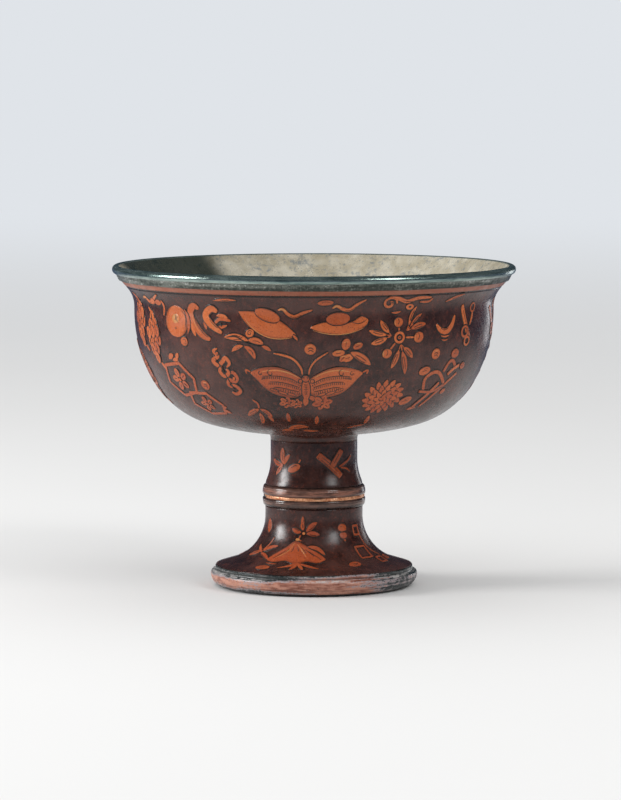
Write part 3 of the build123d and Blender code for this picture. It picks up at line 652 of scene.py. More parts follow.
def knot():
    shapes = [
        ribbon([(-6.6, -3.2), (-7.9, 2.4), (-4.6, 4.9), (-0.8, 4.4), (4.6, -0.6)], 1.5, FILL, 0, 0.06),
        ribbon([(1.4, 1.2), (-3.4, -4.4), (-6.2, -7.4), (-8.6, -10.4)], 1.4, FILL, 1, 0.06),
        ribbon([(4.4, -0.4), (-1.6, -3.2), (-9.6, -2.6)], 1.1, FILL, 1, 0.06),
        ribbon([(1.0, 4.6), (3.0, 8.4), (5.4, 9.0), (8.0, 6.2)], 1.4, FILL, 0, 0.06),
        ribbon([(4.0, 3.4), (7.2, 5.8), (10.8, 7.2)], 1.4, FILL, 1, 0.08),
        ribbon([(11.0, 4.2), (6.0, 0.4), (1.0, -4.4), (-4.8, -10.8)], 1.2, FILL, 0, 0.06),
    ]
    for x, y, length, width, turn in ((-9.4, 5.9, 5.4, 3.4, 12), (5.4, 11.9, 4.4, 3.6, 0), (-14.2, -6.6, 6.2, 3.6, 22), (12.8, 6.6, 3.0, 2.8, 0)):
        shapes += [oval(x, y, length, width, turn, FILL, 1)]
        shapes += [line([(x - 0.3 * length, y - 0.5), (x, y + 0.1), (x + 0.3 * length, y)], 0.24, 1)]
        shapes += [line([(x - 0.2 * length, y + 0.6), (x + 0.1 * length, y + 0.9), (x + 0.32 * length, y + 0.7)], 0.2, 1)]
    shapes += [leaf((-10.6, -11.4), (-6.0, -10.4), 1.6, 0.3), oval(6.0, -3.6, 3.0, 2.2, 30)]
    return shapes


def lozenges():
    shapes = []
    for x, y, wide, tall, lean in ((-4.4, 4.9, 8.2, 7.2, -14), (5.6, -5.4, 8.4, 5.6, -16)):
        across, up = math.cos(math.radians(lean)), math.sin(math.radians(lean))
        corners = ((wide, 0.42 * tall), (0.1 * wide, tall), (-wide, 0.5 * tall), (-wide, -0.5 * tall), (0, -tall), (wide, -0.42 * tall))
        shapes += [frame_band([(x + a * across - b * up, y + a * up + b * across) for a, b in corners], 1.35)]
        reach = 0.4 * min(wide, tall)
        for turn in range(0, 360, 72):
            px, py = reach * math.cos(math.radians(turn + 30)), reach * math.sin(math.radians(turn + 30))
            shapes += [oval(x + px, y + py, 1.3 * reach, 1.0 * reach, turn + 30, FILL, turn // 72 % 2)]
            shapes += [line([(x + 0.6 * px, y + 0.6 * py), (x + 1.4 * px, y + 1.4 * py)], 0.3, 1)]
        shapes += [oval(x, y, 1.5, 1.4, 0, FILL, 2)]
    shapes += [leaf((-7.4, 13.0), (-4.0, 14.8), 2.2, 0.3), leaf((-2.6, 13.2), (-0.8, 15.6), 1.8, 0.2), leaf((-5.0, 12.6), (-1.6, 13.0), 1.6, 0.2)]
    shapes += [leaf((12.6, -8.6), (16.4, -9.8), 1.8, 0.5), leaf((13.2, -7.6), (15.8, -6.2), 1.4, 0.2)]
    return shapes


def coral():
    return [
        ribbon([(-1.6, 9.6), (-3.6, 8.4), (-2.0, 6.6), (-4.4, 4.8), (-2.6, 3.0), (-0.4, 4.4), (1.2, 6.0), (2.6, 4.0), (1.0, 2.2)], 1.7),
        ribbon([(-0.8, 3.0), (-2.2, 0.8), (-0.6, -1.2), (1.6, 0.2), (0.8, 2.0)], 1.6, FILL, 1),
        ribbon([(0.6, -0.8), (3.4, 0.4), (4.8, -1.8), (3.2, -3.4), (1.2, -2.6), (0.2, -4.6), (2.0, -6.2)], 1.6),
        ribbon([(1.2, -4.4), (3.6, -5.2), (5.0, -7.2), (2.8, -8.6), (0.8, -7.6)], 1.5, FILL, 1),
        ribbon([(-3.6, 6.2), (-1.0, 2.0), (0.8, -2.4), (2.8, -7.0)], 0.5, LINE, 1),
        oval(-2.2, 7.6, 1.3, 1.1, 30, FILL, 1),
        oval(3.4, -2.0, 1.4, 1.1, 60, FILL, 1),
    ]


def cone():
    shapes = []
    for row in range(6):
        count = (1, 2, 3, 3, 2, 1)[row]
        for step in range(count):
            x = (step - (count - 1) / 2) * 3.3 + 0.5 * (row % 2)
            y = 7.6 - 3.0 * row + 0.5 * step
            shapes += [leaf((x - 0.6, y + 2.4), (x + 0.5, y - 2.4), 3.5, 0.4, 0.6, FILL, row % 3)]
            shapes += [line([(x - 0.4, y + 1.4), (x + 0.3, y), (x + 0.1, y - 1.5)], 0.34, 2)]
    shapes += [ribbon([(-2.6, 11.2), (-0.8, 9.8), (0.2, 8.6)], 1.0), leaf((2.0, -9.4), (4.6, -12.0), 1.6, 0.3)]
    return shapes


def sprig():
    return (
        veined_leaf((0.4, 1.5), (-6.6, -2.6), 2.5, -0.3)
        + veined_leaf((1.0, 1.6), (5.4, -3.0), 2.4, 0.6)
        + veined_leaf((0.1, -0.6), (-1.6, -7.8), 2.6, 0.6)
        + [leaf((3.4, -2.0), (5.0, -6.0), 1.8, 0.3), ribbon([(-1.4, 6.2), (0.6, 4.2), (0.5, 1.6)], 0.9)]
    )


def drop():
    return [oval(0, 0, 5.4, 2.0, 88), line([(0.1, 1.6), (-0.2, -0.2), (0.1, -1.6)], 0.22)]


def spot():
    return pearl(0, 0, 2.1)


def small_oval():
    return [oval(0, 0, 5.6, 2.4, 4), line([(-1.8, 0.1), (0.2, 0.5), (2.0, 0.1)], 0.22), oval(6.6, -2.4, 1.2, 1.0)]


def neck_petal():
    return [
        leaf((-6.0, -1.2), (5.2, 1.0), 3.6, 1.2),
        leaf((1.6, -2.4), (10.4, -3.4), 2.6, -0.6),
        leaf((-10.6, -3.2), (-3.6, -2.4), 2.4, 0.3),
        line([(-4.0, -0.6), (0.0, 1.2), (4.0, 1.2)], 0.5),
    ]


def stem_sprig():
    return (
        veined_leaf((0, -0.6), (-0.4, 5.6), 2.7, 0.3, 0, 2)
        + veined_leaf((-0.2, -0.8), (-6.6, 1.0), 2.2, 0.5, 0, 2)
        + veined_leaf((-0.4, -1.0), (-3.6, -4.8), 1.9, -0.3, 0, 1)
        + [leaf((0.2, -0.8), (3.2, 3.2), 1.7, 0.4), oval(4.8, -1.8, 5.4, 3.0, 24), line([(3.0, -2.0), (5.0, -0.9), (6.6, -1.0)], 0.3)]
        + [ribbon([(6.6, 0.2), (7.6, 1.6)], 0.6)]
    )


def tablets():
    return [
        ribbon([(-5.2, 3.6), (0.0, -0.6), (4.6, -5.4)], 2.6, FILL, 0, 0.1),
        line([(-4.4, 3.4), (0.2, -0.3), (4.2, -4.4)], 0.24),
        line([(-4.6, 2.4), (-0.4, -1.3), (3.6, -5.2)], 0.24),
        ribbon([(5.2, 5.2), (2.6, 1.6), (0.6, -1.4)], 2.3, FILL, 1, 0.12),
        line([(4.4, 4.4), (2.4, 1.4), (1.2, -0.6)], 0.26, 1),
        ribbon([(3.4, -1.4), (6.0, -0.4), (8.2, 0.8), (10.4, 2.8)], 0.9),
        ribbon([(4.2, -1.6), (7.2, -2.2), (9.2, -3.6)], 0.8),
    ]


def floret():
    shapes = []
    for x, y, width in ((-5.4, 1.3, 1.9), (-0.6, 6.0, 1.8), (5.8, 3.8, 2.2), (6.8, -0.9, 2.0), (-1.2, 3.4, 1.2)):
        reach = math.hypot(x, y)
        shapes += veined_leaf((1.2 * x / reach, 1.2 * y / reach - 0.3), (x, y), width, 0.2, 0, 1)
    shapes += [oval(0, -0.4, 1.2, 1.0, 0, GILT_AND_HIGHLIGHT), ribbon([(-1.2, -0.8), (-1.8, -2.6), (-0.6, -3.4)], 0.6)]
    return shapes


def lotus():
    shapes = [
        panel(
            [(-10.4, -4.6), (-8.6, -1.2), (-5.0, 2.2), (-1.6, 4.8), (2.6, 3.2), (6.8, 0.6), (10.2, -3.2)],
            [(-10.4, -4.6), (-7.0, -5.6), (-3.2, -4.4), (0.2, -6.0), (3.8, -4.4), (7.0, -5.4), (10.2, -3.2)],
        )
    ]
    for x, y in ((-8.4, -2.6), (-5.6, -0.4), (-2.6, 1.2), (0.2, 1.6), (3.4, 0.8), (6.4, -0.8), (8.6, -2.6)):
        shapes += [line([(0.4 * x - 0.6, 0.35 * y + 2.4), (0.8 * x, 0.7 * y), (x, y - 1.4)], 0.26)]
    shapes += [leaf((-1.6, 4.4), (-7.6, -3.2), 0.32, 0.8, 0.6, GILT_AND_HIGHLIGHT), leaf((-0.8, 3.8), (3.6, -2.6), 0.32, 0.4, 0.6, GILT_AND_HIGHLIGHT)]
    shapes += [leaf((3.6, 2.6), (9.8, -1.2), 1.9, 1.1, 0.7, FILL, 1), line([(4.6, 1.8), (6.8, 1.0), (9.0, -0.8)], 0.24, 1)]
    for x, y, width in ((-4.2, -9.6, 1.1), (-0.4, -10.6, 1.3), (3.0, -10.4, 1.1), (7.4, -9.8, 1.3), (-1.8, -8.6, 0.9)):
        shapes += [leaf((0.8, -5.4), (x, y), width, 0.2, 0.7)]
    shapes += [leaf((-9.4, -6.2), (-5.0, -6.6), 0.8, -0.3), oval(-0.8, 5.4, 1.8, 1.0, 0, GILT_AND_HIGHLIGHT, 1)]
    return shapes


def foot_sprig():
    return (
        veined_leaf((0.2, 0.4), (7.0, 3.4), 1.9, 0.4, 0, 1)
        + veined_leaf((-0.2, 0.2), (-5.4, -2.8), 2.0, -0.3, 0, 1)
        + veined_leaf((0.2, -0.4), (5.8, -3.2), 1.7, 0.3, 0, 1)
        + veined_leaf((-0.2, 0.6), (-3.6, 3.0), 1.6, 0.3, 0, 1)
        + [ribbon([(0.2, 0.6), (2.2, 4.0), (3.4, 7.0)], 0.6), oval(0, 0.2, 1.4, 1.2, 0, FILL, 1)]
    )


def red_leaf():
    return [oval(0, 0, 4.2, 3.4, 20), line([(-1.2, 0.4), (0.2, 0.2), (1.4, 0.6)], 0.26), line([(-0.8, -0.7), (0.6, -0.6)], 0.24)]


def double_bead():
    return [
        oval(0, 1.6, 4.4, 3.2), oval(0, -1.2, 3.6, 2.8), line([(-1.9, 0.4), (0.0, 0.0), (1.9, 0.4)], 0.42, 1),
        line([(-1.2, 1.9), (0.4, 2.4)], 0.2), oval(0.2, -3.2, 1.0, 0.9),
    ]


def small_leaf():
    return veined_leaf((0.4, -2.4), (-0.6, 2.8), 3.6, 0.3, 0, 2)


def frets():
    shapes = []
    for x, y, size in ((0.0, 0.0, 5.4), (1.4, 9.2, 3.4), (5.6, -5.0, 3.2), (10.6, -4.6, 2.0)):
        shapes += [frame_band([(x - size / 2, y - size / 2), (x + size / 2, y - size / 2), (x + size / 2, y + size / 2), (x - size / 2, y + size / 2)], 0.9)]
    shapes += [ribbon([(2.6, 12.0), (3.4, 6.0), (5.0, 1.0), (8.8, -3.4)], 0.7)]
    return shapes


# Pieces of inlay: their nodes, the wall they lie on, and each motif's places on the front as
# millimetres right of the middle at the wall's reference radius, climb, and lean in degrees

INLAYS = (
    ("ingots", ("inlay_ingots",), BOWL_WALL, ((left_ingot, ((-17, 74, 0),)), (right_ingot, ((8.5, 74, 0),)))),
    ("coins_and_horns", ("inlay_coins", "inlay_horns"), BOWL_WALL, ((coin, ((-56.3, 74, 0),)), (horns, ((-44, 73.5, 0),)))),
    (
        "ribbons_and_clouds", ("inlay_ribbons", "inlay_clouds"), BOWL_WALL,
        (
            (ribbon_tie, ((-7, 78.5, 0), (12.5, 81, 16), (-71.5, 81.5, 10))),
            (cloud, ((35, 81.6, 0),)),
            (wisp, ((-32.5, 83, -8), (56, 83, 8))),
            (hook, ((-66, 78.5, 0),)),
            (small_oval, ((4, 82.6, 0),)),
        ),
    ),
    (
        "pearls_and_drops", ("inlay_pearls", "inlay_drops"), BOWL_WALL,
        (
            (spot, ((-1.4, 65.4, 0), (-47, 50, -20), (49.5, 62.3, 0))),
            (drop, ((-12, 35.5, 0), (1.3, 33.8, 0), (26, 33.4, 0))),
            (neck_petal, ((-8, 27.5, 0),)),
            (wisp, ((22, 28.5, 8),)),
        ),
    ),
    ("bud_wheels", ("inlay_bud_wheels",), BOWL_WALL, ((bud_wheel, ((32, 69.2, 0),)),)),
    (
        "blossoms_and_sprigs", ("inlay_blossoms", "inlay_branches", "inlay_sprigs"), BOWL_WALL,
        ((blossom, ((12.1, 64.6, 0),)), (branch, ((-27, 68, 0), (107, 60, 0))), (sprig, ((-25, 38.5, 0), (103, 46, 0)))),
    ),
    ("butterflies", ("inlay_butterflies",), BOWL_WALL, ((butterfly, ((-3, 51, 0),)),)),
    ("chrysanthemums", ("inlay_chrysanthemums",), BOWL_WALL, ((chrysanthemum, ((29, 45.2, 0),)),)),
    ("knots_and_lozenges", ("inlay_knots", "inlay_lozenges"), BOWL_WALL, ((knot, ((55, 50, 0),)), (lozenges, ((-56.5, 46.5, 0),)))),
    ("crescents_and_tassels", ("inlay_crescents", "inlay_tassels"), BOWL_WALL, ((crescent, ((53, 71.5, 0),)), (tassel, ((64, 71, 0), (92, 70, 20))))),
    ("corals_and_cones", ("inlay_corals", "inlay_cones"), BOWL_WALL, ((coral, ((-35.5, 55.5, 0),)), (cone, ((-73, 67, 0), (-85, 72.5, 10), (-92, 50, 0))))),
    (
        "column_inlays", ("inlay_column_sprigs", "inlay_tablets"), COLUMN_WALL,
        ((stem_sprig, ((-12.5, 9.2, 0),)), (tablets, ((6.2, 9.2, 0),))),
    ),
    (
        "foot_inlays", ("inlay_florets", "inlay_lotuses", "inlay_foot_sprigs", "inlay_foot_pearls", "inlay_frets"), FOOT_WALL,
        (
            (floret, ((-4.4, 23.8, 0),)),
            (lotus, ((-6.0, 15.6, 0),)),
            (foot_sprig, ((-21.6, 14.6, 0),)),
            (double_bead, ((13.1, 23.6, 0),)),
            (red_leaf, ((-14.4, 5.6, 0), (12.4, 8.6, 0))),
            (small_leaf, ((-23.3, 25.2, 0),)),
            (frets, ((19.6, 14.6, 0),)),
        ),
    ),
)


def pile_inlay(pile, wall, shape, place, relief, tone):
    """One closed shell for a flat shape. Its section is a cushion over the wall, whose top goes as
    the fourth root of 1 - w^6 across it, and whose bottom lies below the coat."""
    left, right, closed, finish, level = shape
    step = relief.level_step * level
    widest = float(np.linalg.norm(left - right, axis=1).max())
    columns = 5 if finish != FILL else 9 + 2 * int(widest)
    w = np.sin(np.linspace(-HALF_TURN / 2, HALF_TURN / 2, columns))
    under = np.linspace(1.0, 0.0, 2 + 2 * int(widest / 2))
    share = np.concatenate([(1 + w) / 2, under])
    if finish == FILL:
        top, edge = relief.height + step, relief.edge_height + step
    else:
        top, edge = relief.height + relief.line_height + step, relief.height + step
    rise = edge + (top - edge) * (1 - np.abs(w) ** 6) ** 0.25
    lift = np.concatenate([rise, np.full(len(under), -relief.root)])
    rows = slice(None) if closed else slice(1, -1)
    across = left[rows, None, :] * (1 - share)[None, :, None] + right[rows, None, :] * share[None, :, None]
    lifts = np.broadcast_to(lift, across.shape[:2])
    if not closed:
        ease = np.ones(len(across))
        ease[[0, -1]] = 0.75
        lifts = lifts * ease[:, None]
    grid = on_wall(wall, place, across, lifts)
    width = np.abs(share[None, :] * 2 - 1) * np.ones(across.shape[:2])
    pile.add(grid, closed, finish, tone=tone, edge=width)


def pile_outline(pile, wall, shape, place, relief):
    """The dark line round a fill: the same shape grown by a margin, and lower."""
    left, right, closed, finish, level = shape
    middle = (left + right) / 2
    side = left - middle
    reach = np.linalg.norm(side, axis=1, keepdims=True)
    along = np.gradient(middle, axis=0)
    along /= np.linalg.norm(along, axis=1, keepdims=True) + 1e-9
    normal = np.stack([-along[:, 1], along[:, 0]], axis=-1)
    normal = np.where(reach > 1e-3, side / (reach + 1e-9), normal)
    grow = relief.outline_width * np.ones((len(middle), 1))
    if not closed:
        middle = middle.copy()
        middle[0] -= along[0] * relief.outline_width
        middle[-1] += along[-1] * relief.outline_width
        grow[[0, -1]] = 0.0
    wide = normal * (reach + grow)
    low = relief.edge_height / 2
    if level:
        low = relief.height + 0.01 + relief.level_step * (level - 1)
    flat = 4 + 2 * int(2 * reach.max())
    under = np.linspace(1.0, 0.0, 2 + 2 * int(reach.max()))
    share = np.concatenate([[0.0, 0.04], np.linspace(0.1, 0.9, flat), [0.96, 1.0], under])
    lift = np.concatenate([[low - 0.02], np.full(flat + 2, low), [low - 0.02], np.full(len(under), -relief.root)])
    rows = slice(None) if closed else slice(1, -1)
    edge_left, edge_right = (middle + wide)[rows, None, :], (middle - wide)[rows, None, :]
    across = edge_left * (1 - share)[None, :, None] + edge_right * share[None, :, None]
    grid = on_wall(wall, place, across, np.broadcast_to(lift, across.shape[:2]))
    pile.add(grid, closed, LINE, tone=0.0, edge=1.0)


# Shader nodes

def add_node(tree, kind, values=None, **settings):
    """A node with its settings, and its inputs given as sockets to link or values to hold."""
    node = tree.nodes.new(kind)
    for name, value in settings.items():
        setattr(node, name, value)
    for name, value in (values or {}).items():
        if isinstance(value, bpy.types.NodeSocket):
            tree.links.new(value, node.inputs[name])
        else:
            node.inputs[name].default_value = value
    return node


def blend_colours(tree, mask, first, second, mode="MIX"):
    """A Mix node for colours: A where the mask is 0, and B where it is 1."""
    node = tree.nodes.new("ShaderNodeMix")
    node.data_type = "RGBA"
    node.blend_type = mode
    for index, value in ((0, mask), (6, first), (7, second)):
        if isinstance(value, bpy.types.NodeSocket):
            tree.links.new(value, node.inputs[index])
        elif index:
            node.inputs[index].default_value = (*value[:3], 1.0)
        else:
            node.inputs[index].default_value = value
    return node.outputs[2]


def sum_of(tree, operation, first, second, clamp=False):
    node = add_node(tree, "ShaderNodeMath", operation=operation, use_clamp=clamp)
    for index, value in enumerate((first, second)):
        if isinstance(value, bpy.types.NodeSocket):
            tree.links.new(value, node.inputs[index])
        else:
            node.inputs[index].default_value = value
    return node.outputs[0]


def ramp(tree, value, low, high, to_low=0.0, to_high=1.0):
    node = add_node(
        tree, "ShaderNodeMapRange",
        {"Value": value, "From Min": low, "From Max": high, "To Min": to_low, "To Max": to_high},
        interpolation_type="SMOOTHSTEP",
    )
    return node.outputs["Result"]


def effect_group(name, inputs, outputs, build):
    """A shader node group with named sockets. Build is given its tree, its input and its output."""
    group = bpy.data.node_groups.new(name, "ShaderNodeTree")
    for socket, kind, value in inputs:
        made = group.interface.new_socket(socket, in_out="INPUT", socket_type=kind)
        if value is not None:
            made.default_value = value
    for socket, kind in outputs:
        group.interface.new_socket(socket, in_out="OUTPUT", socket_type=kind)
    entry = group.nodes.new("NodeGroupInput")
    leave = group.nodes.new("NodeGroupOutput")
    build(group, entry.outputs, leave.inputs)
    return group


def build_mottle(tree, given, result):
    """Clouds of two sizes, cut to a soft mask between two levels."""
    broad = add_node(tree, "ShaderNodeTexNoise", {"Vector": given["Vector"], "Scale": given["Scale"], "Detail": 4.0, "Roughness": 0.6})
    fine_scale = sum_of(tree, "MULTIPLY", given["Scale"], 5.3)
    fine = add_node(tree, "ShaderNodeTexNoise", {"Vector": given["Vector"], "Scale": fine_scale, "Detail": 3.0})
    shares = sum_of(tree, "MULTIPLY", fine.outputs["Fac"], given["Fine"])
    rest = sum_of(tree, "SUBTRACT", 1.0, given["Fine"])
    both = sum_of(tree, "ADD", sum_of(tree, "MULTIPLY", broad.outputs["Fac"], rest), shares)
    cut = add_node(tree, "ShaderNodeMapRange", {"Value": both, "From Min": given["Low"], "From Max": given["High"]}, interpolation_type="SMOOTHSTEP")
    tree.links.new(cut.outputs["Result"], result["Mask"])


def build_specks(tree, given, result):
    """Small round specks, some cells of a Voronoi pattern only."""
    cells = add_node(tree, "ShaderNodeTexVoronoi", {"Vector": given["Vector"], "Scale": given["Scale"], "Randomness": 1.0})
    near = ramp(tree, cells.outputs["Distance"], 0.12, 0.3, 1.0, 0.0)
    pick = add_node(tree, "ShaderNodeSeparateColor", {"Color": cells.outputs["Color"]})
    chosen = sum_of(tree, "LESS_THAN", pick.outputs["Red"], given["Share"])
    tree.links.new(sum_of(tree, "MULTIPLY", near, chosen), result["Mask"])


def build_wear(tree, given, result):
    """Fine ripples and dents as heights, for a Bump node."""
    ripple = add_node(tree, "ShaderNodeTexNoise", {"Vector": given["Vector"], "Scale": given["Scale"], "Detail": 6.0, "Roughness": 0.7})
    dents = add_node(tree, "ShaderNodeTexVoronoi", {"Vector": given["Vector"], "Scale": sum_of(tree, "MULTIPLY", given["Scale"], 0.35)}, feature="SMOOTH_F1")
    height = sum_of(tree, "ADD", ripple.outputs["Fac"], sum_of(tree, "MULTIPLY", dents.outputs["Distance"], given["Dents"]))
    tree.links.new(height, result["Height"])


VECTOR, FLOAT = "NodeSocketVector", "NodeSocketFloat"


def effect_groups():
    if "mottle" not in bpy.data.node_groups:
        effect_group(
            "mottle",
            (("Vector", VECTOR, None), ("Scale", FLOAT, 60.0), ("Fine", FLOAT, 0.3), ("Low", FLOAT, 0.4), ("High", FLOAT, 0.6)),
            (("Mask", FLOAT),), build_mottle,
        )
        effect_group("specks", (("Vector", VECTOR, None), ("Scale", FLOAT, 400.0), ("Share", FLOAT, 0.2)), (("Mask", FLOAT),), build_specks)
        effect_group("wear", (("Vector", VECTOR, None), ("Scale", FLOAT, 500.0), ("Dents", FLOAT, 0.2)), (("Height", FLOAT),), build_wear)
    return bpy.data.node_groups


class Finish:
    """A material under way: its tree, Object coordinates, and short names for the shared effects."""

    def __init__(self, name):
        self.material = bpy.data.materials.new(name)
        self.material.use_nodes = True
        self.tree = self.material.node_tree
        self.tree.nodes.clear()
        self.coordinates = add_node(self.tree, "ShaderNodeTexCoord").outputs["Object"]

    def effect(self, name, **values):
        group = add_node(self.tree, "ShaderNodeGroup", node_tree=effect_groups()[name])
        for socket, value in values.items():
            if isinstance(value, bpy.types.NodeSocket):
                self.tree.links.new(value, group.inputs[socket])
            else:
                group.inputs[socket].default_value = value
        if "Vector" not in values:
            self.tree.links.new(self.coordinates, group.inputs["Vector"])
        return group.outputs[0]

    def mottle(self, scale, low=0.4, high=0.6, fine=0.3):
        return self.effect("mottle", Scale=scale, Low=low, High=high, Fine=fine)

    def streaks(self, scale, low, high, fine, stretch):
        """Mottle drawn out sideways: its coordinates are stretched upwards by a factor."""
        drawn = add_node(self.tree, "ShaderNodeMapping", {"Vector": self.coordinates, "Scale": (1.0, 1.0, stretch)})
        return self.effect("mottle", Vector=drawn.outputs["Vector"], Scale=scale, Low=low, High=high, Fine=fine)

    def specks(self, scale, share):
        return self.effect("specks", Scale=scale, Share=share)

    def mark(self, name):
        return add_node(self.tree, "ShaderNodeAttribute", attribute_name=name).outputs["Fac"]

    def height(self):
        return add_node(self.tree, "ShaderNodeSeparateXYZ", {"Vector": self.coordinates}).outputs["Z"]

    def mix(self, mask, first, second, mode="MIX"):
        return blend_colours(self.tree, mask, first, second, mode)

    def close(self, colour, roughness, bump=0.0, bump_scale=700.0, dents=0.2, **sockets):
        """Link everything to a Principled shader. Sockets with one value are set on it."""
        values = {"Base Color": colour, "Roughness": roughness}
        values.update({name.replace("_", " "): value for name, value in sockets.items()})
        shader = add_node(self.tree, "ShaderNodeBsdfPrincipled", values)
        if bump:
            height = self.effect("wear", Scale=bump_scale, Dents=dents)
            bumps = add_node(self.tree, "ShaderNodeBump", {"Strength": bump, "Distance": 0.0002, "Height": height})
            self.tree.links.new(bumps.outputs["Normal"], shader.inputs["Normal"])
        output = add_node(self.tree, "ShaderNodeOutputMaterial")
        self.tree.links.new(shader.outputs["BSDF"], output.inputs["Surface"])
        return self.material


def shade(red, green, blue):
    """A colour given as it shows, from 0 to 255, turned into the linear values that nodes take."""
    values = np.array([red, green, blue]) / 255.0
    return tuple(np.where(values <= 0.04045, values / 12.92, ((values + 0.055) / 1.055) ** 2.4))


def dark_lacquer(name, settings):
    """Brown-black lacquer: clouds of two browns, reddish where it wears thin, with fine specks."""
    finish = Finish(name)
    cloud = finish.mottle(38.0, 0.34, 0.66, 0.4)
    colour = finish.mix(cloud, settings.lacquer_deep, settings.lacquer_light)
    rub = finish.mottle(120.0, 0.52, 0.74, 0.5)
    colour = finish.mix(sum_of(finish.tree, "MULTIPLY", rub, 0.4), colour, settings.lacquer_rub)
    grains = finish.mottle(640.0, 0.53, 0.64, 0.55)
    colour = finish.mix(sum_of(finish.tree, "MULTIPLY", grains, 0.62), colour, settings.lacquer_rub)
    colour = finish.mix(sum_of(finish.tree, "MULTIPLY", finish.specks(900.0, 0.16), 0.5), colour, settings.lacquer_light)
    colour = finish.mix(finish.mark("groove"), colour, settings.line_colour)
    roughness = ramp(finish.tree, finish.mottle(90.0, 0.3, 0.7, 0.5), 0.0, 1.0, settings.lacquer_roughness, settings.lacquer_roughness + 0.12)
    return finish.close(colour, roughness, 0.12, 260.0, 0.5, Specular_IOR_Level=0.4)


def bead_lacquer(name, settings):
    """Worn grey-brown lacquer that shows red-brown below and a pale crest, partly rubbed lacquer and partly painted
    highlight streaks.
    """
    finish = Finish(name)
    colour = finish.mix(finish.mottle(150.0, 0.36, 0.64, 0.4), settings.bead_deep, settings.bead_light)
    crest = finish.mix(finish.streaks(45.0, 0.38, 0.62, 0.5, 9.0), settings.bead_light, settings.bead_rub_and_highlight)
    # Partly painted highlight: the pale streaked crest stands for highlight lines as well as for rubbed lacquer
    colour = finish.mix(finish.mark("rubbed"), colour, crest)
    roughness = ramp(finish.tree, finish.mottle(200.0), 0.0, 1.0, 0.12, 0.26)
    return finish.close(colour, roughness, 0.12, 600.0)


def inlay_lacquer(name, settings):
    """Orange lacquer, turned darker red towards the foot as painted shade, each shape with its own tone and a darker
    edge.
    """
    finish = Finish(name)
    tree = finish.tree
    colour = finish.mix(finish.mark("tone"), settings.inlay_deep, settings.inlay_light)
    patch = finish.mottle(170.0, 0.36, 0.64, 0.5)
    colour = finish.mix(sum_of(tree, "MULTIPLY", patch, 0.55), colour, settings.inlay_deep)
    # Painted shade: the inlays turn darker red low on the cup, under the bowl's swell
    low = ramp(tree, finish.height(), 0.062, 0.100, 0.6, 0.0)
    colour = finish.mix(low, colour, settings.inlay_red)
    streak = finish.mottle(900.0, 0.45, 0.7, 0.6)
    colour = finish.mix(sum_of(tree, "MULTIPLY", streak, 0.5), colour, settings.inlay_light)
    rim = ramp(tree, finish.mark("edge"), 0.72, 1.0, 0.0, 0.55)
    colour = finish.mix(rim, colour, settings.inlay_edge)
    colour = finish.mix(sum_of(tree, "MULTIPLY", finish.specks(1400.0, 0.35), 0.7), colour, settings.line_colour)
    worn = finish.mottle(620.0, 0.56, 0.68, 0.5)
    colour = finish.mix(sum_of(tree, "MULTIPLY", worn, 0.55), colour, settings.inlay_edge)
    roughness = ramp(tree, finish.mottle(300.0), 0.0, 1.0, 0.24, 0.4)
    return finish.close(colour, roughness, 0.22, 900.0, Specular_IOR_Level=0.4)


def line_lacquer(name, settings):
    """The dark green-black that is rubbed into the cut outlines."""
    finish = Finish(name)
    colour = finish.mix(finish.mottle(400.0), settings.line_colour, settings.line_light)
    return finish.close(colour, ramp(finish.tree, finish.mottle(500.0), 0.0, 1.0, 0.3, 0.5), 0.1, 900.0)


def gilt_and_highlight_lacquer(name, settings):
    """Yellow edges of the motifs, partly rubbed gilt and partly painted highlight on one side of each shape."""
    finish = Finish(name)
    colour = finish.mix(finish.mottle(600.0, 0.4, 0.66), settings.gilt_and_highlight_light, settings.inlay_light)
    return finish.close(colour, ramp(finish.tree, finish.mottle(500.0), 0.0, 1.0, 0.28, 0.45), 0.1, 900.0)


def border_lacquer(name, settings):
    """Salmon red line, streaked along the rim and rubbed through in places."""
    finish = Finish(name)
    tree = finish.tree
    colour = finish.mix(finish.streaks(70.0, 0.36, 0.64, 0.5, 10.0), settings.border_red, settings.border_pale)
    scuff = finish.mottle(420.0, 0.56, 0.7, 0.5)
    colour = finish.mix(sum_of(tree, "MULTIPLY", scuff, 0.7), colour, settings.border_deep)
    colour = finish.mix(ramp(tree, finish.mark("edge"), 0.6, 1.0, 0.0, 0.8), colour, settings.border_deep)
    return finish.close(colour, ramp(tree, finish.mottle(260.0), 0.0, 1.0, 0.28, 0.45), 0.25, 800.0)


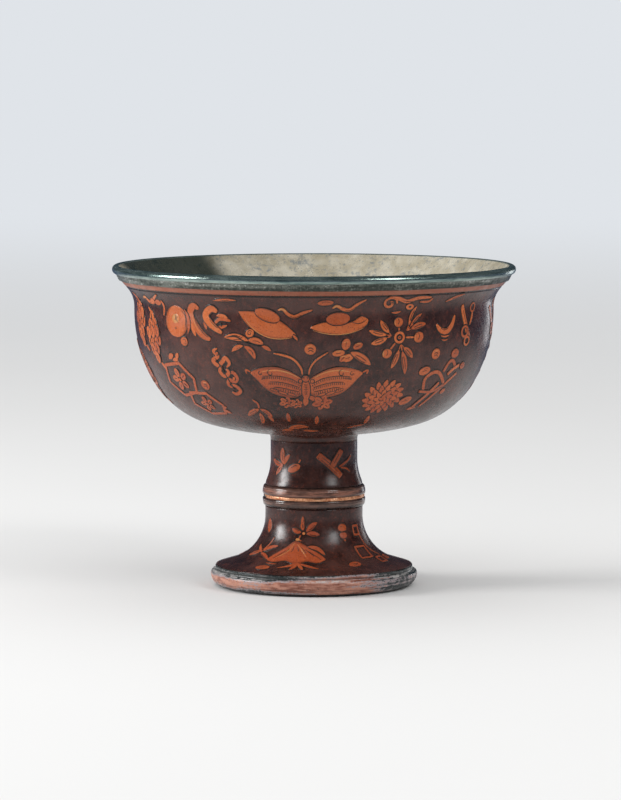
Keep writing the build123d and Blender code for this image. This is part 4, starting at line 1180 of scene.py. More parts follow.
def lining_metal(name, settings):
    """Mottled pale metal with blue-grey stains, a dark patch of painted shade high on one side inside, and a dark
    polished roll at the rim.
    """
    finish = Finish(name)
    tree = finish.tree
    colour = finish.mix(finish.mottle(45.0, 0.36, 0.62, 0.45), settings.lining_pale, settings.lining_warm)
    stain = finish.mottle(110.0, 0.53, 0.63, 0.5)
    colour = finish.mix(sum_of(tree, "MULTIPLY", stain, 0.6), colour, settings.lining_stain)
    fleck = finish.mottle(420.0, 0.56, 0.66, 0.55)
    colour = finish.mix(sum_of(tree, "MULTIPLY", fleck, 0.6), colour, settings.lining_stain)
    colour = finish.mix(sum_of(tree, "MULTIPLY", finish.specks(800.0, 0.3), 0.6), colour, settings.lining_stain)
    # Painted shade: a dark patch high on the back left wall inside stands for the shade cast there
    painted_shade_mask = ramp(tree, finish.mark("tarnish"), 0.35, 0.65, 0.0, 0.93)
    colour = finish.mix(painted_shade_mask, colour, settings.lining_painted_shade)
    roll = finish.mark("roll")
    roll_colour = finish.mix(finish.streaks(55.0, 0.36, 0.64, 0.35, 14.0), settings.roll_dark, settings.roll_light)
    colour = finish.mix(roll, colour, roll_colour)
    rough_inside = ramp(tree, finish.mottle(130.0), 0.0, 1.0, 0.24, 0.38)
    roughness = add_node(tree, "ShaderNodeMix", data_type="FLOAT")
    tree.links.new(roll, roughness.inputs[0])
    tree.links.new(rough_inside, roughness.inputs[2])
    tree.links.new(ramp(tree, finish.mottle(90.0), 0.0, 1.0, 0.16, 0.26), roughness.inputs[3])
    metal = ramp(tree, roll, 0.0, 1.0, 0.3, 0.85)
    return finish.close(colour, roughness.outputs[0], 0.3, 300.0, 0.6, Metallic=metal)


def collar_metal(name, settings):
    """Rough solder: dark grey grains with bright silver tips, which also serve as painted glints along the top edge
    and as painted light towards the front left.
    """
    finish = Finish(name)
    tree = finish.tree
    worn = finish.mark("worn")
    colour = settings.collar_dark
    # The bright grains gather where the mark is high: partly silver tips, partly painted glints and painted light
    for scale, fine, level, tone in ((800.0, 0.5, 0.6, settings.collar_middle), (1300.0, 0.4, 0.74, settings.collar_bright)):
        low = sum_of(tree, "SUBTRACT", level, sum_of(tree, "MULTIPLY", worn, 0.3))
        high = sum_of(tree, "ADD", low, 0.07)
        grains = finish.effect("mottle", Scale=scale, Low=low, High=high, Fine=fine)
        colour = finish.mix(grains, colour, tone)
    return finish.close(colour, ramp(tree, finish.mottle(500.0), 0.0, 1.0, 0.28, 0.5), 0.5, 1500.0, 0.8, Metallic=0.5)


def foot_lacquer(name, settings):
    """Worn red band: salmon where the colour holds, lavender grey where it is rubbed, and dark
    green-grey where the ground shows. The wear is heavier on the right as painted shade, and a pale line on the crests
    is partly rubbed and partly painted highlight."""
    finish = Finish(name)
    tree = finish.tree
    colour = finish.mix(finish.streaks(50.0, 0.38, 0.6, 0.5, 5.0), settings.foot_red, settings.foot_pale)
    ragged = sum_of(tree, "MULTIPLY", finish.mottle(520.0, 0.3, 0.7, 0.5), 0.16)
    worn = sum_of(tree, "ADD", finish.mark("worn"), ragged)
    colour = finish.mix(ramp(tree, worn, 0.5, 0.56), colour, settings.foot_grey)
    colour = finish.mix(ramp(tree, worn, 0.585, 0.615), colour, settings.ground_colour)
    # Partly painted highlight: a pale line on the crests, broken by noise and weaker to the right
    ridge = sum_of(tree, "MULTIPLY", finish.mark("ridge"), finish.mottle(240.0, 0.42, 0.56, 0.5))
    colour = finish.mix(ridge, colour, settings.ridge_rub_and_highlight)
    colour = finish.mix(sum_of(tree, "MULTIPLY", finish.specks(700.0, 0.3), 0.6), colour, settings.ground_colour)
    colour = finish.mix(finish.mark("groove"), colour, settings.line_colour)
    return finish.close(colour, ramp(tree, finish.mottle(260.0), 0.0, 1.0, 0.24, 0.5), 0.35, 700.0, 0.5)


def gilding(name, settings):
    """Worn gold with chips down to dark lacquer."""
    finish = Finish(name)
    tree = finish.tree
    colour = finish.mix(finish.mottle(260.0, 0.36, 0.64, 0.5), settings.gilt_deep, settings.gilt_light)
    colour = finish.mix(ramp(tree, finish.mark("worn"), 0.7, 0.85), colour, settings.line_light)
    return finish.close(colour, ramp(tree, finish.mottle(400.0), 0.0, 1.0, 0.3, 0.48), 0.25, 900.0, 0.4, Metallic=0.3)


def black_lacquer(name, settings):
    finish = Finish(name)
    colour = finish.mix(finish.mottle(90.0, 0.4, 0.66, 0.4), settings.black_deep, settings.lacquer_deep)
    return finish.close(colour, ramp(finish.tree, finish.mottle(160.0), 0.0, 1.0, 0.26, 0.45), 0.2, 500.0)


def hidden_finish(name, first, second, scale, roughness, metallic=0.0):
    """Ground, putty, raw lacquer or wire under the coats: two tones in clouds."""
    finish = Finish(name)
    colour = finish.mix(finish.mottle(scale, 0.35, 0.65, 0.4), first, second)
    rough = ramp(finish.tree, finish.mottle(2 * scale), 0.0, 1.0, roughness, roughness + 0.15)
    return finish.close(colour, rough, 0.3, 400.0, 0.3, Metallic=metallic)


def wood_finish(name, settings):
    """Turned wood: growth rings about a line beside the axis, crossed by fine pores."""
    finish = Finish(name)
    tree = finish.tree
    offset = add_node(tree, "ShaderNodeMapping", {"Vector": finish.coordinates, "Location": (0.02, 0.01, 0.0), "Scale": (1.0, 1.0, 0.12)})
    rings = add_node(
        tree, "ShaderNodeTexWave",
        {"Vector": offset.outputs["Vector"], "Scale": 90.0, "Distortion": 3.0, "Detail": 3.0, "Detail Scale": 1.5},
        wave_type="RINGS",
    )
    colour = finish.mix(rings.outputs["Fac"], settings.wood_deep, settings.wood_light)
    colour = finish.mix(sum_of(tree, "MULTIPLY", finish.specks(1500.0, 0.3), 0.5), colour, settings.wood_deep)
    return finish.close(colour, ramp(tree, rings.outputs["Fac"], 0.0, 1.0, 0.5, 0.65), 0.3, 800.0)


def floor_finish(name, near, far, far_in_gloss, fade):
    """A pale floor that fades into the backdrop: to the camera and in gloss it turns to its far
    colours where the distance from the cup goes from a fifth of the fade length to all of it, and
    in gloss over a fifth of that length."""
    finish = Finish(name)
    tree = finish.tree
    tone = finish.mix(finish.mottle(2.0, 0.2, 0.8, 0.1), near, [0.985 * c for c in near])
    finish.close(tone, 0.9, Specular_IOR_Level=0.1)
    shader = next(node for node in tree.nodes if node.type == "BSDF_PRINCIPLED")
    output = next(node for node in tree.nodes if node.type == "OUTPUT_MATERIAL")
    distance = add_node(tree, "ShaderNodeVectorMath", {0: finish.coordinates}, operation="LENGTH")
    path = add_node(tree, "ShaderNodeLightPath").outputs
    to_camera = ramp(tree, distance.outputs["Value"], 0.2 * fade, fade)
    in_gloss = ramp(tree, distance.outputs["Value"], 0.04 * fade, 0.2 * fade)
    gone = sum_of(
        tree, "MAXIMUM", sum_of(tree, "MULTIPLY", to_camera, path["Is Camera Ray"]),
        sum_of(tree, "MULTIPLY", in_gloss, path["Is Glossy Ray"]),
    )
    tint = finish.mix(path["Is Glossy Ray"], far, far_in_gloss)
    glow = add_node(tree, "ShaderNodeEmission", {"Color": tint, "Strength": 1.0})
    blend = add_node(tree, "ShaderNodeMixShader", {0: gone})
    tree.links.new(shader.outputs["BSDF"], blend.inputs[1])
    tree.links.new(glow.outputs["Emission"], blend.inputs[2])
    tree.links.new(blend.outputs["Shader"], output.inputs["Surface"])
    return finish.material


# Settings that a user would change

def length_setting(name, value, description):
    return bpy.props.FloatProperty(name=name, description=description, default=value, min=0.0, unit="NONE")


def colour_setting(name, value, description):
    return bpy.props.FloatVectorProperty(name=name, description=description, default=shade(*value), size=3, min=0.0, max=1.0, subtype="COLOR")


class CupReliefSettings(bpy.types.PropertyGroup):
    """How the inlays stand on the coats, in millimetres."""
    height: length_setting("Height", 0.16, "How far the middle of a fill stands over the coat, in mm")
    edge_height: length_setting("Edge height", 0.13, "How far the edge of a fill stands over the coat, in mm")
    line_height: length_setting("Line height", 0.03, "How far a fine line stands over the fill, in mm")
    level_step: length_setting("Level step", 0.06, "How much higher a shape lies that laps over another, in mm")
    root: length_setting("Root", 0.2, "How deep an inlay goes into the coat, in mm")
    outline_width: length_setting("Outline width", 0.42, "Width of the dark line round each fill, in mm")
    segments: bpy.props.IntProperty(name="Segments", description="Divisions round turned pieces", default=288, min=24, subtype="UNSIGNED")


class CupFinishSettings(bpy.types.PropertyGroup):
    """Colours of the finishes, as they show under plain light."""
    lacquer_deep: colour_setting("Lacquer, deep", (38, 21, 18), "Darker clouds of the brown-black lacquer")
    lacquer_light: colour_setting("Lacquer, light", (76, 48, 42), "Lighter clouds of the brown-black lacquer")
    lacquer_rub: colour_setting("Lacquer, rubbed", (116, 56, 40), "Reddish tone where the lacquer wears thin")
    lacquer_roughness: bpy.props.FloatProperty(name="Lacquer roughness", description="Roughness of the polished coat", default=0.21, min=0.0, max=1.0, subtype="FACTOR")
    line_colour: colour_setting("Line", (20, 20, 17), "Dark lines and outlines")
    line_light: colour_setting("Line, light", (44, 38, 30), "Lighter places in the dark lines")
    inlay_light: colour_setting("Inlay, light", (200, 106, 54), "Bright orange of the inlays")
    inlay_deep: colour_setting("Inlay, deep", (158, 74, 40), "Deeper orange of the inlays")
    # Painted shade: the darker red of the inlays low on the cup
    inlay_red: colour_setting("Inlay, red", (144, 60, 40), "Red of the inlays low on the cup")
    inlay_edge: colour_setting("Inlay, edge", (74, 36, 25), "Darker edge of each inlay")
    # Partly painted highlight: pale gold lines on one side of the motifs
    gilt_and_highlight_light: colour_setting("Gold edge", (176, 124, 70), "Yellow lines on the motifs")
    border_red: colour_setting("Border", (142, 70, 44), "Red line under the rim")
    border_pale: colour_setting("Border, pale", (152, 92, 66), "Pale streaks of the border")
    border_deep: colour_setting("Border, dark", (56, 36, 30), "Dark edges and scuffs of the border")
    lining_pale: colour_setting("Lining", (216, 208, 188), "Pale metal of the lining")
    lining_warm: colour_setting("Lining, warm", (184, 174, 150), "Warm tarnish of the lining")
    lining_stain: colour_setting("Lining, stains", (122, 132, 140), "Blue-grey stains of the lining")
    # Painted shade: the colour of the dark patch that stands for shade inside the lining
    lining_painted_shade: colour_setting("Lining, tarnish", (34, 46, 40), "Dark tarnish on one side of the lining")
    roll_dark: colour_setting("Rim, dark", (96, 116, 112), "Dark metal of the rolled rim")
    roll_light: colour_setting("Rim, light", (164, 180, 172), "Lighter metal of the rolled rim")
    collar_dark: colour_setting("Collar, dark", (50, 56, 50), "Dark grains below the rim")
    collar_middle: colour_setting("Collar, middle", (108, 112, 104), "Grey grains below the rim")
    collar_bright: colour_setting("Collar, bright", (206, 206, 200), "Silver glints below the rim")
    foot_red: colour_setting("Foot, red", (124, 70, 54), "Red of the worn foot band")
    foot_pale: colour_setting("Foot, pale", (186, 132, 112), "Pale salmon of the foot band")
    foot_grey: colour_setting("Foot, grey", (150, 140, 142), "Rubbed lavender grey of the foot band")
    ground_colour: colour_setting("Ground", (42, 48, 48), "Grey-green ground where the foot is worn")
    # Partly painted highlight: the pale line along the foot's crests
    ridge_rub_and_highlight: colour_setting("Foot ridge", (196, 190, 186), "Bright rubbed ridge of the foot")
    gilt_deep: colour_setting("Gilding, deep", (172, 98, 58), "Deeper orange gold")
    gilt_light: colour_setting("Gilding, light", (236, 176, 134), "Light gold")
    bead_deep: colour_setting("Beads, dark", (26, 18, 18), "Dark lacquer of the beads")
    bead_light: colour_setting("Beads, light", (72, 54, 48), "Lighter lacquer of the beads")
    # Partly painted highlight: the pale crest colour of the beads
    bead_rub_and_highlight: colour_setting("Beads, rubbed", (156, 108, 90), "Red-brown rubbed crest of the beads")
    black_deep: colour_setting("Black lacquer", (20, 19, 19), "Black lacquer inside the foot")
    wood_deep: colour_setting("Wood, deep", (118, 84, 54), "Growth rings of the turned wood")
    wood_light: colour_setting("Wood, light", (170, 132, 92), "Pale growth of the turned wood")


class CupStageSettings(bpy.types.PropertyGroup):
    """Floor, lamps and camera."""
    floor_colour: colour_setting("Floor", (222, 221, 219), "Pale floor")
    floor_radius: bpy.props.FloatProperty(name="Floor radius", description="How far the floor reaches", default=60.0, min=0.5, unit="LENGTH")
    backdrop_colour: colour_setting("Backdrop", (224, 228, 233), "What the camera sees behind the floor")
    gloss_colour: colour_setting("Surroundings in gloss", (36, 52, 66), "What the gloss shows of the room")
    floor_gloss_colour: colour_setting("Far floor in gloss", (76, 92, 120), "What the gloss shows of the far floor")
    sky_colour: colour_setting("Surroundings", (138, 143, 150), "Plain light from the left, darker to the right")
    ceiling_strength: bpy.props.FloatProperty(name="Ceiling", description="Strength of the even light from above", default=2.15, min=0.0)
    left_power: bpy.props.FloatProperty(name="Left lamp", description="Power of the small soft lamp on the left", default=12.0, min=0.0, unit="POWER")
    right_power: bpy.props.FloatProperty(name="Front lamp", description="Power of the large soft lamp in front", default=7.0, min=0.0, unit="POWER")
    back_power: bpy.props.FloatProperty(name="Back card", description="Power of the low card behind on the right, which only shows in gloss", default=0.07, min=0.0, unit="POWER")
    lens: bpy.props.FloatProperty(name="Lens", description="Focal length of the camera, in mm", default=191.25, min=10.0, unit="CAMERA")


# Operators

def settle(piece, nodes=()):
    """Hang a finished piece on the root body, and hide the imported nodes that it stands for."""
    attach(piece, "root")
    if nodes:
        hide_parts(*nodes)


def relief_of(context):
    return context.scene.cup_relief


def finish_of(context):
    return context.scene.cup_finish


def material_for(name, build, context):
    """The material of that name, built on its first use."""
    return bpy.data.materials.get(name) or build(name, finish_of(context))


class CupCoats(bpy.types.Operator):
    """Turn the three dark lacquer coats: bowl, column and foot."""
    bl_idname = "stemcup.coats"
    bl_label = "Lacquer coats"

    def execute(self, context):
        segments = relief_of(context).segments
        material = material_for("dark lacquer", dark_lacquer, context)
        length = outline_length(BOWL_OUTLINE)
        groove = length - BORDER_TOP - BORDER_WIDTH - GROOVE_WIDTH / 2
        outer = np.concatenate([np.linspace(0, groove - 1.5, 110), np.linspace(groove - 1.4, length, 42)])
        dip = np.clip(1 - ((outer - groove) / (GROOVE_WIDTH / 2)) ** 2, 0, 1)
        for name, outline, distances, lift, mask in (
            ("bowl_coat", BOWL_OUTLINE, outer, -GROOVE_DEPTH * dip, dip ** 0.5),
            ("column_coat", COLUMN_OUTLINE, np.linspace(0, outline_length(COLUMN_OUTLINE), 60), 0.0, 0.0),
            ("foot_coat", FOOT_OUTLINE, np.linspace(0, outline_length(FOOT_OUTLINE), 90), 0.0, 0.0),
        ):
            profile = coat_profile(outline, LACQUER_THICKNESS, distances, lift)
            marks = np.zeros((len(profile), 1))
            marks[: len(distances), 0] = mask
            pile = Pile()
            pile.add(turned(profile, segments), ring=True, groove=marks)
            piece = pile.write(name, [material], ["groove"])
            node = {"bowl_coat": "bowl_lacquer", "column_coat": "column_lacquer", "foot_coat": "lower_stem_lacquer"}[name]
            settle(piece, [node])
        return {"FINISHED"}


class CupBorder(bpy.types.Operator):
    """Lay the red line under the rim, slightly uneven and rubbed."""
    bl_idname = "stemcup.border"
    bl_label = "Red border"

    def execute(self, context):
        segments = relief_of(context).segments
        length = outline_length(BOWL_OUTLINE)
        top = length - BORDER_TOP
        rise, fall = np.linspace(top - BORDER_WIDTH, top, 22), np.linspace(top, top - BORDER_WIDTH, 8)
        across = np.linspace(-1, 1, 22)
        lift = 0.02 + 0.03 * (1 - across ** 8)
        radius, height, _ = follow(BOWL_OUTLINE, rise, lift)
        inner_radius, inner_height, _ = follow(BOWL_OUTLINE, fall, -0.3)
        profile = np.concatenate([np.stack([radius, height], -1), np.stack([inner_radius, inner_height], -1)])
        edge = np.concatenate([np.abs(across), np.ones(8)])[:, None]
        wander = 0.02 * grain(len(profile), segments, 4, 9, 21)
        pile = Pile()
        pile.add(turned(profile, segments, wander), ring=True, edge=edge)
        settle(pile.write("red_border", [material_for("border lacquer", border_lacquer, context)], ["edge"]), ["rim_border"])
        return {"FINISHED"}


class CupBeads(bpy.types.Operator):
    """Turn the two raised beads of the stem and the gilt band between them."""
    bl_idname = "stemcup.beads"
    bl_label = "Beads and gilt band"

    def execute(self, context):
        segments = relief_of(context).segments
        material = material_for("bead lacquer", bead_lacquer, context)
        t = np.linspace(-1, 1, 40)
        # Where the pale crest lies on each bead and how much of it there is: rubbed lacquer and painted highlight
        # together
        for name, node, place, rub_and_highlight_middle, rub_and_highlight_reach, rub_and_highlight_more in (
            ("lower_ring", "lower_bead", 0, 0.15, 0.46, 0.05), ("upper_ring", "upper_bead", 2, 0.0, 0.66, 0.3),
        ):
            low, high = BEAD_LEVELS[place], BEAD_LEVELS[place + 1]
            base = np.interp(t, (-1, 1), (BEAD_RADII[place], BEAD_RADII[place + 1]))
            radius = base - 0.4 + (BEAD_SWELL - base.mean() + 0.4) * (1 - t ** 4) ** 0.6
            height = low + (high - low) * (1 + t) / 2
            inside = polyline([(CORE_RADIUS, high), (CORE_RADIUS, low)], 0.6)
            profile = np.concatenate([np.stack([radius, height], -1), inside])
            rubbed = np.zeros((len(profile), segments))
            worn = 0.55 + 0.45 * grain(len(t), segments, 6, 26, 31 + place)
            rubbed[: len(t)] = np.clip(1.5 - np.abs(t - rub_and_highlight_middle) / rub_and_highlight_reach, 0, 1)[:, None] * np.clip(worn + rub_and_highlight_more, 0, 1)
            swell = np.zeros((len(profile), segments))
            swell[: len(t)] = 0.04 * grain(len(t), segments, 8, 14, 41 + place) * (1 - t[:, None] ** 4)
            swell[: len(t)] -= 0.1 * np.exp(-(((t - 0.3) / 0.05) ** 2))[:, None]
            pile = Pile()
            pile.add(turned(profile, segments, swell), ring=True, rubbed=rubbed)
            settle(pile.write(name, [material], ["rubbed"]), [node])
        low, high = BEAD_LEVELS[1] - 0.45, BEAD_LEVELS[2] + 0.5
        radius = BEAD_RADII[1] - 0.1 + 0.45 * (1 - t ** 2) ** 0.5
        height = low + (high - low) * (1 + t) / 2
        inside = polyline([(CORE_RADIUS, high), (CORE_RADIUS, low)], 0.6)
        profile = np.concatenate([np.stack([radius, height], -1), inside])
        worn = np.clip(0.5 + 0.62 * grain(len(profile), segments, 16, 11, 51), 0, 1)
        pile = Pile()
        pile.add(turned(profile, segments, -0.12 * np.clip((worn - 0.6) / 0.2, 0, 1)), ring=True, worn=worn)
        settle(pile.write("gilt_ring", [material_for("worn gilding", gilding, context)], ["worn"]), ["gilt_band"])
        return {"FINISHED"}


class CupFoot(bpy.types.Operator):
    """Turn the worn red band of the foot with its shoulder, and the dark ring it rests on."""
    bl_idname = "stemcup.foot"
    bl_label = "Foot"

    def execute(self, context):
        segments = 2 * relief_of(context).segments
        split = math.acos(1 - FOOT_RING_HEIGHT / FOOT_ROLL)
        outer = REST_RADIUS + FOOT_ROLL
        neck = outer - FOOT_TOP_ROUND
        shoulder = FOOT_ROLL + FOOT_TOP_ROUND
        angle = np.linspace(split, HALF_TURN / 2, 40)
        roll = np.stack([REST_RADIUS + FOOT_ROLL * np.sin(angle), FOOT_ROLL * (1 - np.cos(angle))], -1)
        angle = np.linspace(0, HALF_TURN / 2, 24)[1:]
        crown = np.stack([neck + FOOT_TOP_ROUND * np.cos(angle), FOOT_ROLL + FOOT_TOP_ROUND * np.sin(angle)], -1)
        step = polyline([(neck, shoulder), (neck, shoulder + SHOULDER_HEIGHT), (neck - SHOULDER_CHAMFER, shoulder + SHOULDER_HEIGHT + SHOULDER_CHAMFER)], 0.16)[1:]
        shown = np.concatenate([roll, crown, step])
        inner = polyline([(35.6, 7.0), (35.6, FOOT_RING_HEIGHT), tuple(roll[0])], 0.7)[:-1]
        profile = np.concatenate([shown, inner])
        count = len(shown)
        worn = 0.5 + 0.5 * grain(len(profile), segments, 26, 60, 61)
        worn = 0.52 * worn + 0.24 * (0.5 + 0.5 * grain(len(profile), segments, 8, 14, 62))
        worn += 0.24 * (0.5 + 0.5 * grain(len(profile), segments, 3, 22, 64))
        turn = np.linspace(-HALF_TURN, HALF_TURN, segments, endpoint=False)
        # Painted light and shade: the wear is raised round the front right and lowered round the front left, so the
        # band shows more dark ground on the right and more salmon on the left
        worn += np.roll(0.16 * np.exp(-(((turn - 0.95) / 0.5) ** 2)) - 0.05 * np.exp(-(((turn + 0.9) / 0.5) ** 2)), segments // 2)
        height = shown[:, 1]
        lean = np.interp(height, (1.0, 3.2, 5.2, 6.2, 7.9), (-0.04, -0.06, 0.02, 0.12, 0.16))[:, None]
        worn[:count] += lean
        ridge = np.zeros((len(profile), segments))
        # Partly painted highlight: a pale line on the crown and the shoulder, broken by noise and weaker towards the
        # right
        ridge[:count] = (np.exp(-(((height - 6.0) / 0.42) ** 2)) + 0.7 * np.exp(-(((height - 7.3) / 0.3) ** 2)))[:, None]
        ridge *= np.clip(0.4 + 2.2 * grain(len(profile), segments, 4, 20, 65) - 0.3 * np.sin(turn + HALF_TURN), 0, 1)
        groove = np.zeros((len(profile), 1))
        groove[:count, 0] = 0.8 * np.exp(-(((height - 6.62) / 0.22) ** 2)) + 0.6 * np.exp(-(((height - 2.3) / 0.12) ** 2))
        dents = -0.22 * np.clip((worn - 0.6) / 0.12, 0, 1) + 0.07 * grain(len(profile), segments, 14, 30, 63)
        dents -= 0.1 * groove
        dents[count:] = 0.0
        dents[:3] *= 0.3
        pile = Pile()
        pile.add(turned(profile, segments, np.minimum(dents, 0.02)), ring=True, worn=np.clip(worn, 0, 1), ridge=np.clip(ridge, 0, 1), groove=groove)
        band = pile.write("worn_foot_band", [material_for("foot lacquer", foot_lacquer, context)], ["worn", "ridge", "groove"])
        settle(band, ["foot_band", "foot_shoulder"])
        angle = np.linspace(0, split, 16)
        edge = np.stack([REST_RADIUS + FOOT_ROLL * np.sin(angle), FOOT_ROLL * (1 - np.cos(angle))], -1)
        rest = polyline([(FOOT_BORE, 0.0), (REST_RADIUS, 0.0)], 0.4)[:-1]
        back = polyline([tuple(edge[-1]), (FOOT_BORE, FOOT_RING_HEIGHT), (FOOT_BORE, 0.0)], 0.5)[1:-1]
        pile = Pile()
        pile.add(turned(np.concatenate([rest, edge, back]), segments // 2), ring=True)
        settle(pile.write("rest_ring", [material_for("black lacquer", black_lacquer, context)]), ["foot_ring"])
        return {"FINISHED"}


class CupLining(bpy.types.Operator):
    """Turn the metal lining with its rolled rim, slightly uneven as beaten sheet is."""
    bl_idname = "stemcup.lining"
    bl_label = "Metal lining"

    def execute(self, context):
        segments = relief_of(context).segments
        outline = lining_outline()
        length = outline_length(outline)
        lip = outline_end(BOWL_OUTLINE)
        centre = np.array([lip[0] + ROLL_OFFSET[0], lip[1] + ROLL_OFFSET[1]])
        outside_radius, outside_height, _ = follow(outline, np.linspace(0, length - 1.3, 60))
        inside_radius, inside_height, _ = follow(outline, np.linspace(0, length, 130), -LINER_THICKNESS)
        floor = float(outside_height[0])
        under = polyline([(0.6, floor), (float(outside_radius[0]), floor)], 1.2)[:-1]
        over = polyline([(float(inside_radius[0]), floor + LINER_THICKNESS), (0.6, floor + LINER_THICKNESS)], 1.2)[1:]
        angle = np.radians(np.linspace(-160.0, 140.0, 60))
        roll = centre + ROLL_RADIUS * np.stack([np.cos(angle), np.sin(angle)], -1)
        profile = np.concatenate(
            [under, np.stack([outside_radius, outside_height], -1), roll, np.stack([inside_radius, inside_height], -1)[-2::-1], over]
        )
        count = len(profile)
        first = len(under) + len(outside_radius)
        rolled = np.zeros((count, 1))
        rolled[first : first + len(roll), 0] = np.clip(np.minimum(np.arange(60), 59 - np.arange(60)) / 6, 0, 1)
        beaten = 0.05 * grain(count, segments, 9, 9, 71) + 0.05 * grain(count, segments, 30, 34, 72)
        beaten[: len(under) + len(outside_radius)] = 0.0
        beaten[-len(over):] *= 0.4
        # Painted shade: the mark is highest round the back left and high on the wall, and fades to each side and below
        # a level, with noise at its edge
        turn = np.linspace(0.0, FULL_TURN, segments, endpoint=False)
        away = np.degrees(np.abs((turn - math.radians(PAINTED_SHADE_MIDDLE) + HALF_TURN) % FULL_TURN - HALF_TURN))
        below = np.clip((PAINTED_SHADE_LEVEL - profile[:, 1:]) / 12, 0, 2)
        tarnish = 0.5 + (PAINTED_SHADE_REACH - away)[None, :] / 40 + 0.4 * grain(count, segments, 20, 12, 73) - below
        pile = Pile()
        pile.add(turned(profile, segments, np.minimum(beaten, 0.02)), roll=rolled, tarnish=np.clip(tarnish, 0, 1))
        piece = pile.write("lining", [material_for("lining metal", lining_metal, context)], ["roll", "tarnish"])
        settle(piece, ["liner"])
        return {"FINISHED"}


class CupCollar(bpy.types.Operator):
    """Turn the rough collar between the rolled rim and the red line."""
    bl_idname = "stemcup.collar"
    bl_label = "Collar"

    def execute(self, context):
        segments = 3 * relief_of(context).segments
        lip = outline_end(BOWL_OUTLINE)
        length = outline_length(BOWL_OUTLINE)
        foot = tuple(float(v) for v in follow(BOWL_OUTLINE, length - 0.35, 0.45)[:2])
        inside = tuple(float(v) for v in follow(BOWL_OUTLINE, length - 0.35)[:2])
        centre = (lip[0] + ROLL_OFFSET[0], lip[1] + ROLL_OFFSET[1])
        face = polyline([foot, (centre[0] + 0.45, centre[1] - 1.3)], 0.13)
        back = polyline([(centre[0] + 0.45, centre[1] - 1.3), (centre[0] - 0.3, centre[1] - 1.4), lip, inside, foot], 0.5)[1:-1]
        profile = np.concatenate([face, back])
        grains = grain(len(profile), segments, 3, 6, 81) + 0.5 * grain(len(profile), segments, 8, 12, 82)
        swell = np.zeros((len(profile), segments))
        swell[: len(face)] = 0.16 * grains[: len(face)]
        up = np.clip(np.arange(len(profile)) / len(face), 0, 1)[:, None]
        turn = np.linspace(0.0, FULL_TURN, segments, endpoint=False)
        # Painted highlight: more bright grains towards the top edge, a glint line along it, and painted light towards
        # the front left, the side of the left lamp
        worn = 0.22 + 0.45 * up ** 1.5 + 0.3 * grain(len(profile), segments, 6, 60, 83) + 0.3 * grains
        worn += 0.22 * np.clip(np.cos(turn - math.radians(-62.0)) * 3 - 2, 0, 1)
        worn = np.clip(worn, 0, 1)
        pile = Pile()
        pile.add(turned(profile, segments, swell), ring=True, worn=worn)
        settle(pile.write("collar", [material_for("collar metal", collar_metal, context)], ["worn"]), ["rim_collar"])
        return {"FINISHED"}


class CupInlays(bpy.types.Operator):
    """Lay one piece of inlay, its motifs on the front and again half a turn round."""
    bl_idname = "stemcup.inlay"
    bl_label = "Inlays"

    piece: bpy.props.StringProperty(name="Piece", description="Which piece of inlay to lay", default="ingots")

    def execute(self, context):
        relief = relief_of(context)
        name, nodes, wall, motifs = next(row for row in INLAYS if row[0] == self.piece)
        random = np.random.default_rng(len(name))
        pile = Pile()
        for draw, places in motifs:
            shapes = draw()
            for right, climb, lean in places:
                for half in (0.0, HALF_TURN):
                    place = (half + right / wall[2], climb, math.radians(lean))
                    for shape in shapes:
                        if shape[3] == FILL:
                            pile_outline(pile, wall, shape, place, relief)
                        pile_inlay(pile, wall, shape, place, relief, random.random())
        materials = [
            material_for("inlay lacquer", inlay_lacquer, context),
            material_for("line lacquer", line_lacquer, context),
            material_for("gold lacquer", gilt_and_highlight_lacquer, context),
        ]
        settle(pile.write(name, materials, ["tone", "edge"]), nodes)
        return {"FINISHED"}


class CupHiddenLayers(bpy.types.Operator):
    """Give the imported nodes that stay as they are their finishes."""
    bl_idname = "stemcup.hidden_layers"
    bl_label = "Wood, ground and putty"

    def execute(self, context):
        settings = finish_of(context)
        wood = material_for("turned wood", wood_finish, context)
        black = material_for("black lacquer", black_lacquer, context)
        ground = hidden_finish("ash ground", settings.ground_colour, shade(70, 72, 66), 160.0, 0.6)
        putty = hidden_finish("lacquer putty", shade(40, 32, 28), shade(64, 50, 42), 200.0, 0.5)
        glue = hidden_finish("raw lacquer", shade(48, 26, 16), shade(80, 44, 24), 220.0, 0.3)
        wire = hidden_finish("drawn wire", shade(170, 130, 76), shade(120, 88, 50), 300.0, 0.35, 0.9)
        for material, nodes in (
            (wood, ("bowl_core", "stem_core")),
            (ground, ("bowl_ground", "column_ground", "lower_stem_ground")),
            (putty, ("liner_bedding", "rim_putty")),
            (glue, ("tenon_glue",)),
            (wire, ("rim_wire",)),
            (black, ("foot_lining",)),
        ):
            for node in nodes:
                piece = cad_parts[node]
                piece.data.materials.clear()
                piece.data.materials.append(material)
        return {"FINISHED"}


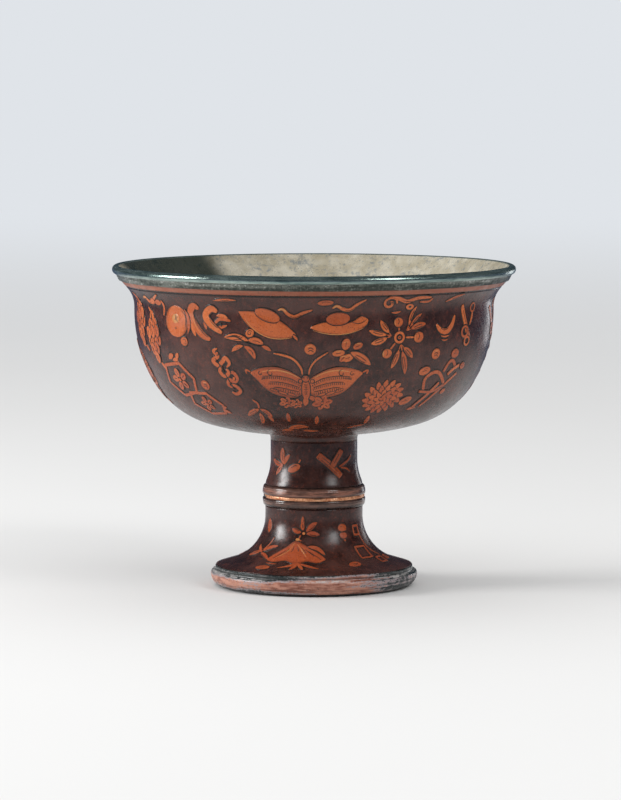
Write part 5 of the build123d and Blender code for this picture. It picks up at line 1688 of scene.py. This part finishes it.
class CupStage(bpy.types.Operator):
    """Set the pale floor, the soft lamps, the surroundings and the camera."""
    bl_idname = "stemcup.stage"
    bl_label = "Stage"

    def lamp(self, context, name, angle, rise, distance, size, power, target):
        """An area lamp at an angle to the right of the camera's side, facing the target."""
        turn, up = math.radians(angle), math.radians(rise)
        way = np.array([math.sin(turn) * math.cos(up), -math.cos(turn) * math.cos(up), math.sin(up)])
        light = bpy.data.lights.new(name, "AREA")
        light.shape = "RECTANGLE"
        light.size, light.size_y = size
        light.energy = power
        holder = bpy.data.objects.new(name, light)
        context.scene.collection.objects.link(holder)
        holder.location = np.array(target) + way * distance
        holder.rotation_euler = (math.pi / 2 - up, 0.0, turn)
        holder.visible_camera = False
        return holder

    def execute(self, context):
        stage = context.scene.cup_stage
        angle = np.linspace(0, FULL_TURN, 96, endpoint=False)
        rim = stage.floor_radius * np.stack([np.cos(angle), np.sin(angle), 0 * angle], -1)
        mesh = bpy.data.meshes.new("floor")
        mesh.from_pydata(rim.tolist(), [], [list(range(len(rim)))])
        far, far_in_gloss = list(stage.backdrop_colour), list(stage.floor_gloss_colour)
        mesh.materials.append(floor_finish("floor", list(stage.floor_colour), far, far_in_gloss, 3.0))
        floor = bpy.data.objects.new("floor", mesh)
        context.scene.collection.objects.link(floor)
        middle = (0.0, 0.0, 0.06)
        self.lamp(context, "left lamp", -84.0, 17.0, 1.2, (0.42, 0.5), stage.left_power, middle)
        self.lamp(context, "front lamp", 48.0, 33.0, 1.5, (0.5, 0.7), stage.right_power, middle)
        card = self.lamp(context, "back card", 144.0, 1.5, 0.5, (0.06, 0.13), stage.back_power, middle)
        card.visible_diffuse = False
        sky = bpy.data.lights.new("ceiling", "SUN")
        sky.energy = stage.ceiling_strength
        sky.angle = math.radians(120)
        ceiling = bpy.data.objects.new("ceiling", sky)
        context.scene.collection.objects.link(ceiling)
        ceiling.visible_glossy = False
        world = bpy.data.worlds.new("surroundings")
        context.scene.world = world
        world.use_nodes = True
        tree = world.node_tree
        background = tree.nodes["Background"]
        path = add_node(tree, "ShaderNodeLightPath").outputs
        way = add_node(tree, "ShaderNodeSeparateXYZ", {"Vector": add_node(tree, "ShaderNodeTexCoord").outputs["Generated"]})
        right_side = ramp(tree, way.outputs["X"], -0.9, 0.9)
        sky = blend_colours(tree, right_side, stage.sky_colour, [0.3 * c for c in stage.sky_colour])
        colour = blend_colours(tree, path["Is Glossy Ray"], sky, stage.gloss_colour)
        colour = blend_colours(tree, path["Is Camera Ray"], colour, stage.backdrop_colour)
        tree.links.new(colour, background.inputs["Color"])
        camera = bpy.data.cameras.new("camera")
        camera.lens = stage.lens
        camera.sensor_width = 36.0
        camera.clip_end = 40.0
        holder = bpy.data.objects.new("camera", camera)
        context.scene.collection.objects.link(holder)
        eye, aim = np.array([-0.0013, -1.58, 0.2133]), np.array([-0.0013, 0.0, 0.0693])
        holder.location = eye
        holder.rotation_euler = (math.pi / 2 - math.atan2(eye[2] - aim[2], aim[1] - eye[1]), 0.0, 0.0)
        context.scene.camera = holder
        context.scene.view_settings.view_transform = "Standard"
        return {"FINISHED"}


class CupPanel(bpy.types.Panel):
    """The steps of the stem cup, in the order in which they run."""
    bl_idname = "VIEW3D_PT_stemcup"
    bl_label = "Stem Cup"
    bl_space_type = "VIEW_3D"
    bl_region_type = "UI"
    bl_category = "Stem Cup"

    def draw(self, context):
        for operator in STEPS:
            self.layout.operator(operator.bl_idname)
        for row in INLAYS:
            self.layout.operator(CupInlays.bl_idname, text=row[0]).piece = row[0]
        for group in (context.scene.cup_relief, context.scene.cup_finish, context.scene.cup_stage):
            box = self.layout.box()
            for name in group.__annotations__:
                box.prop(group, name)


STEPS = (CupStage, CupHiddenLayers, CupCoats, CupBorder, CupBeads, CupFoot, CupLining, CupCollar)
GROUPS = (("cup_relief", CupReliefSettings), ("cup_finish", CupFinishSettings), ("cup_stage", CupStageSettings))


def register():
    for _, group in GROUPS:
        bpy.utils.register_class(group)
    for step in (*STEPS, CupInlays, CupPanel):
        bpy.utils.register_class(step)
    for name, group in GROUPS:
        setattr(bpy.types.Scene, name, bpy.props.PointerProperty(type=group))


def unregister():
    for name, _ in GROUPS:
        delattr(bpy.types.Scene, name)
    for step in (CupPanel, CupInlays, *reversed(STEPS)):
        bpy.utils.unregister_class(step)
    for _, group in GROUPS:
        bpy.utils.unregister_class(group)


def main():
    register()
    bpy.ops.stemcup.stage()
    bpy.ops.stemcup.hidden_layers()
    bpy.ops.stemcup.coats()
    bpy.ops.stemcup.border()
    bpy.ops.stemcup.beads()
    bpy.ops.stemcup.foot()
    bpy.ops.stemcup.lining()
    bpy.ops.stemcup.collar()
    for row in INLAYS:
        bpy.ops.stemcup.inlay(piece=row[0])


if __name__ == "__main__":
    main()
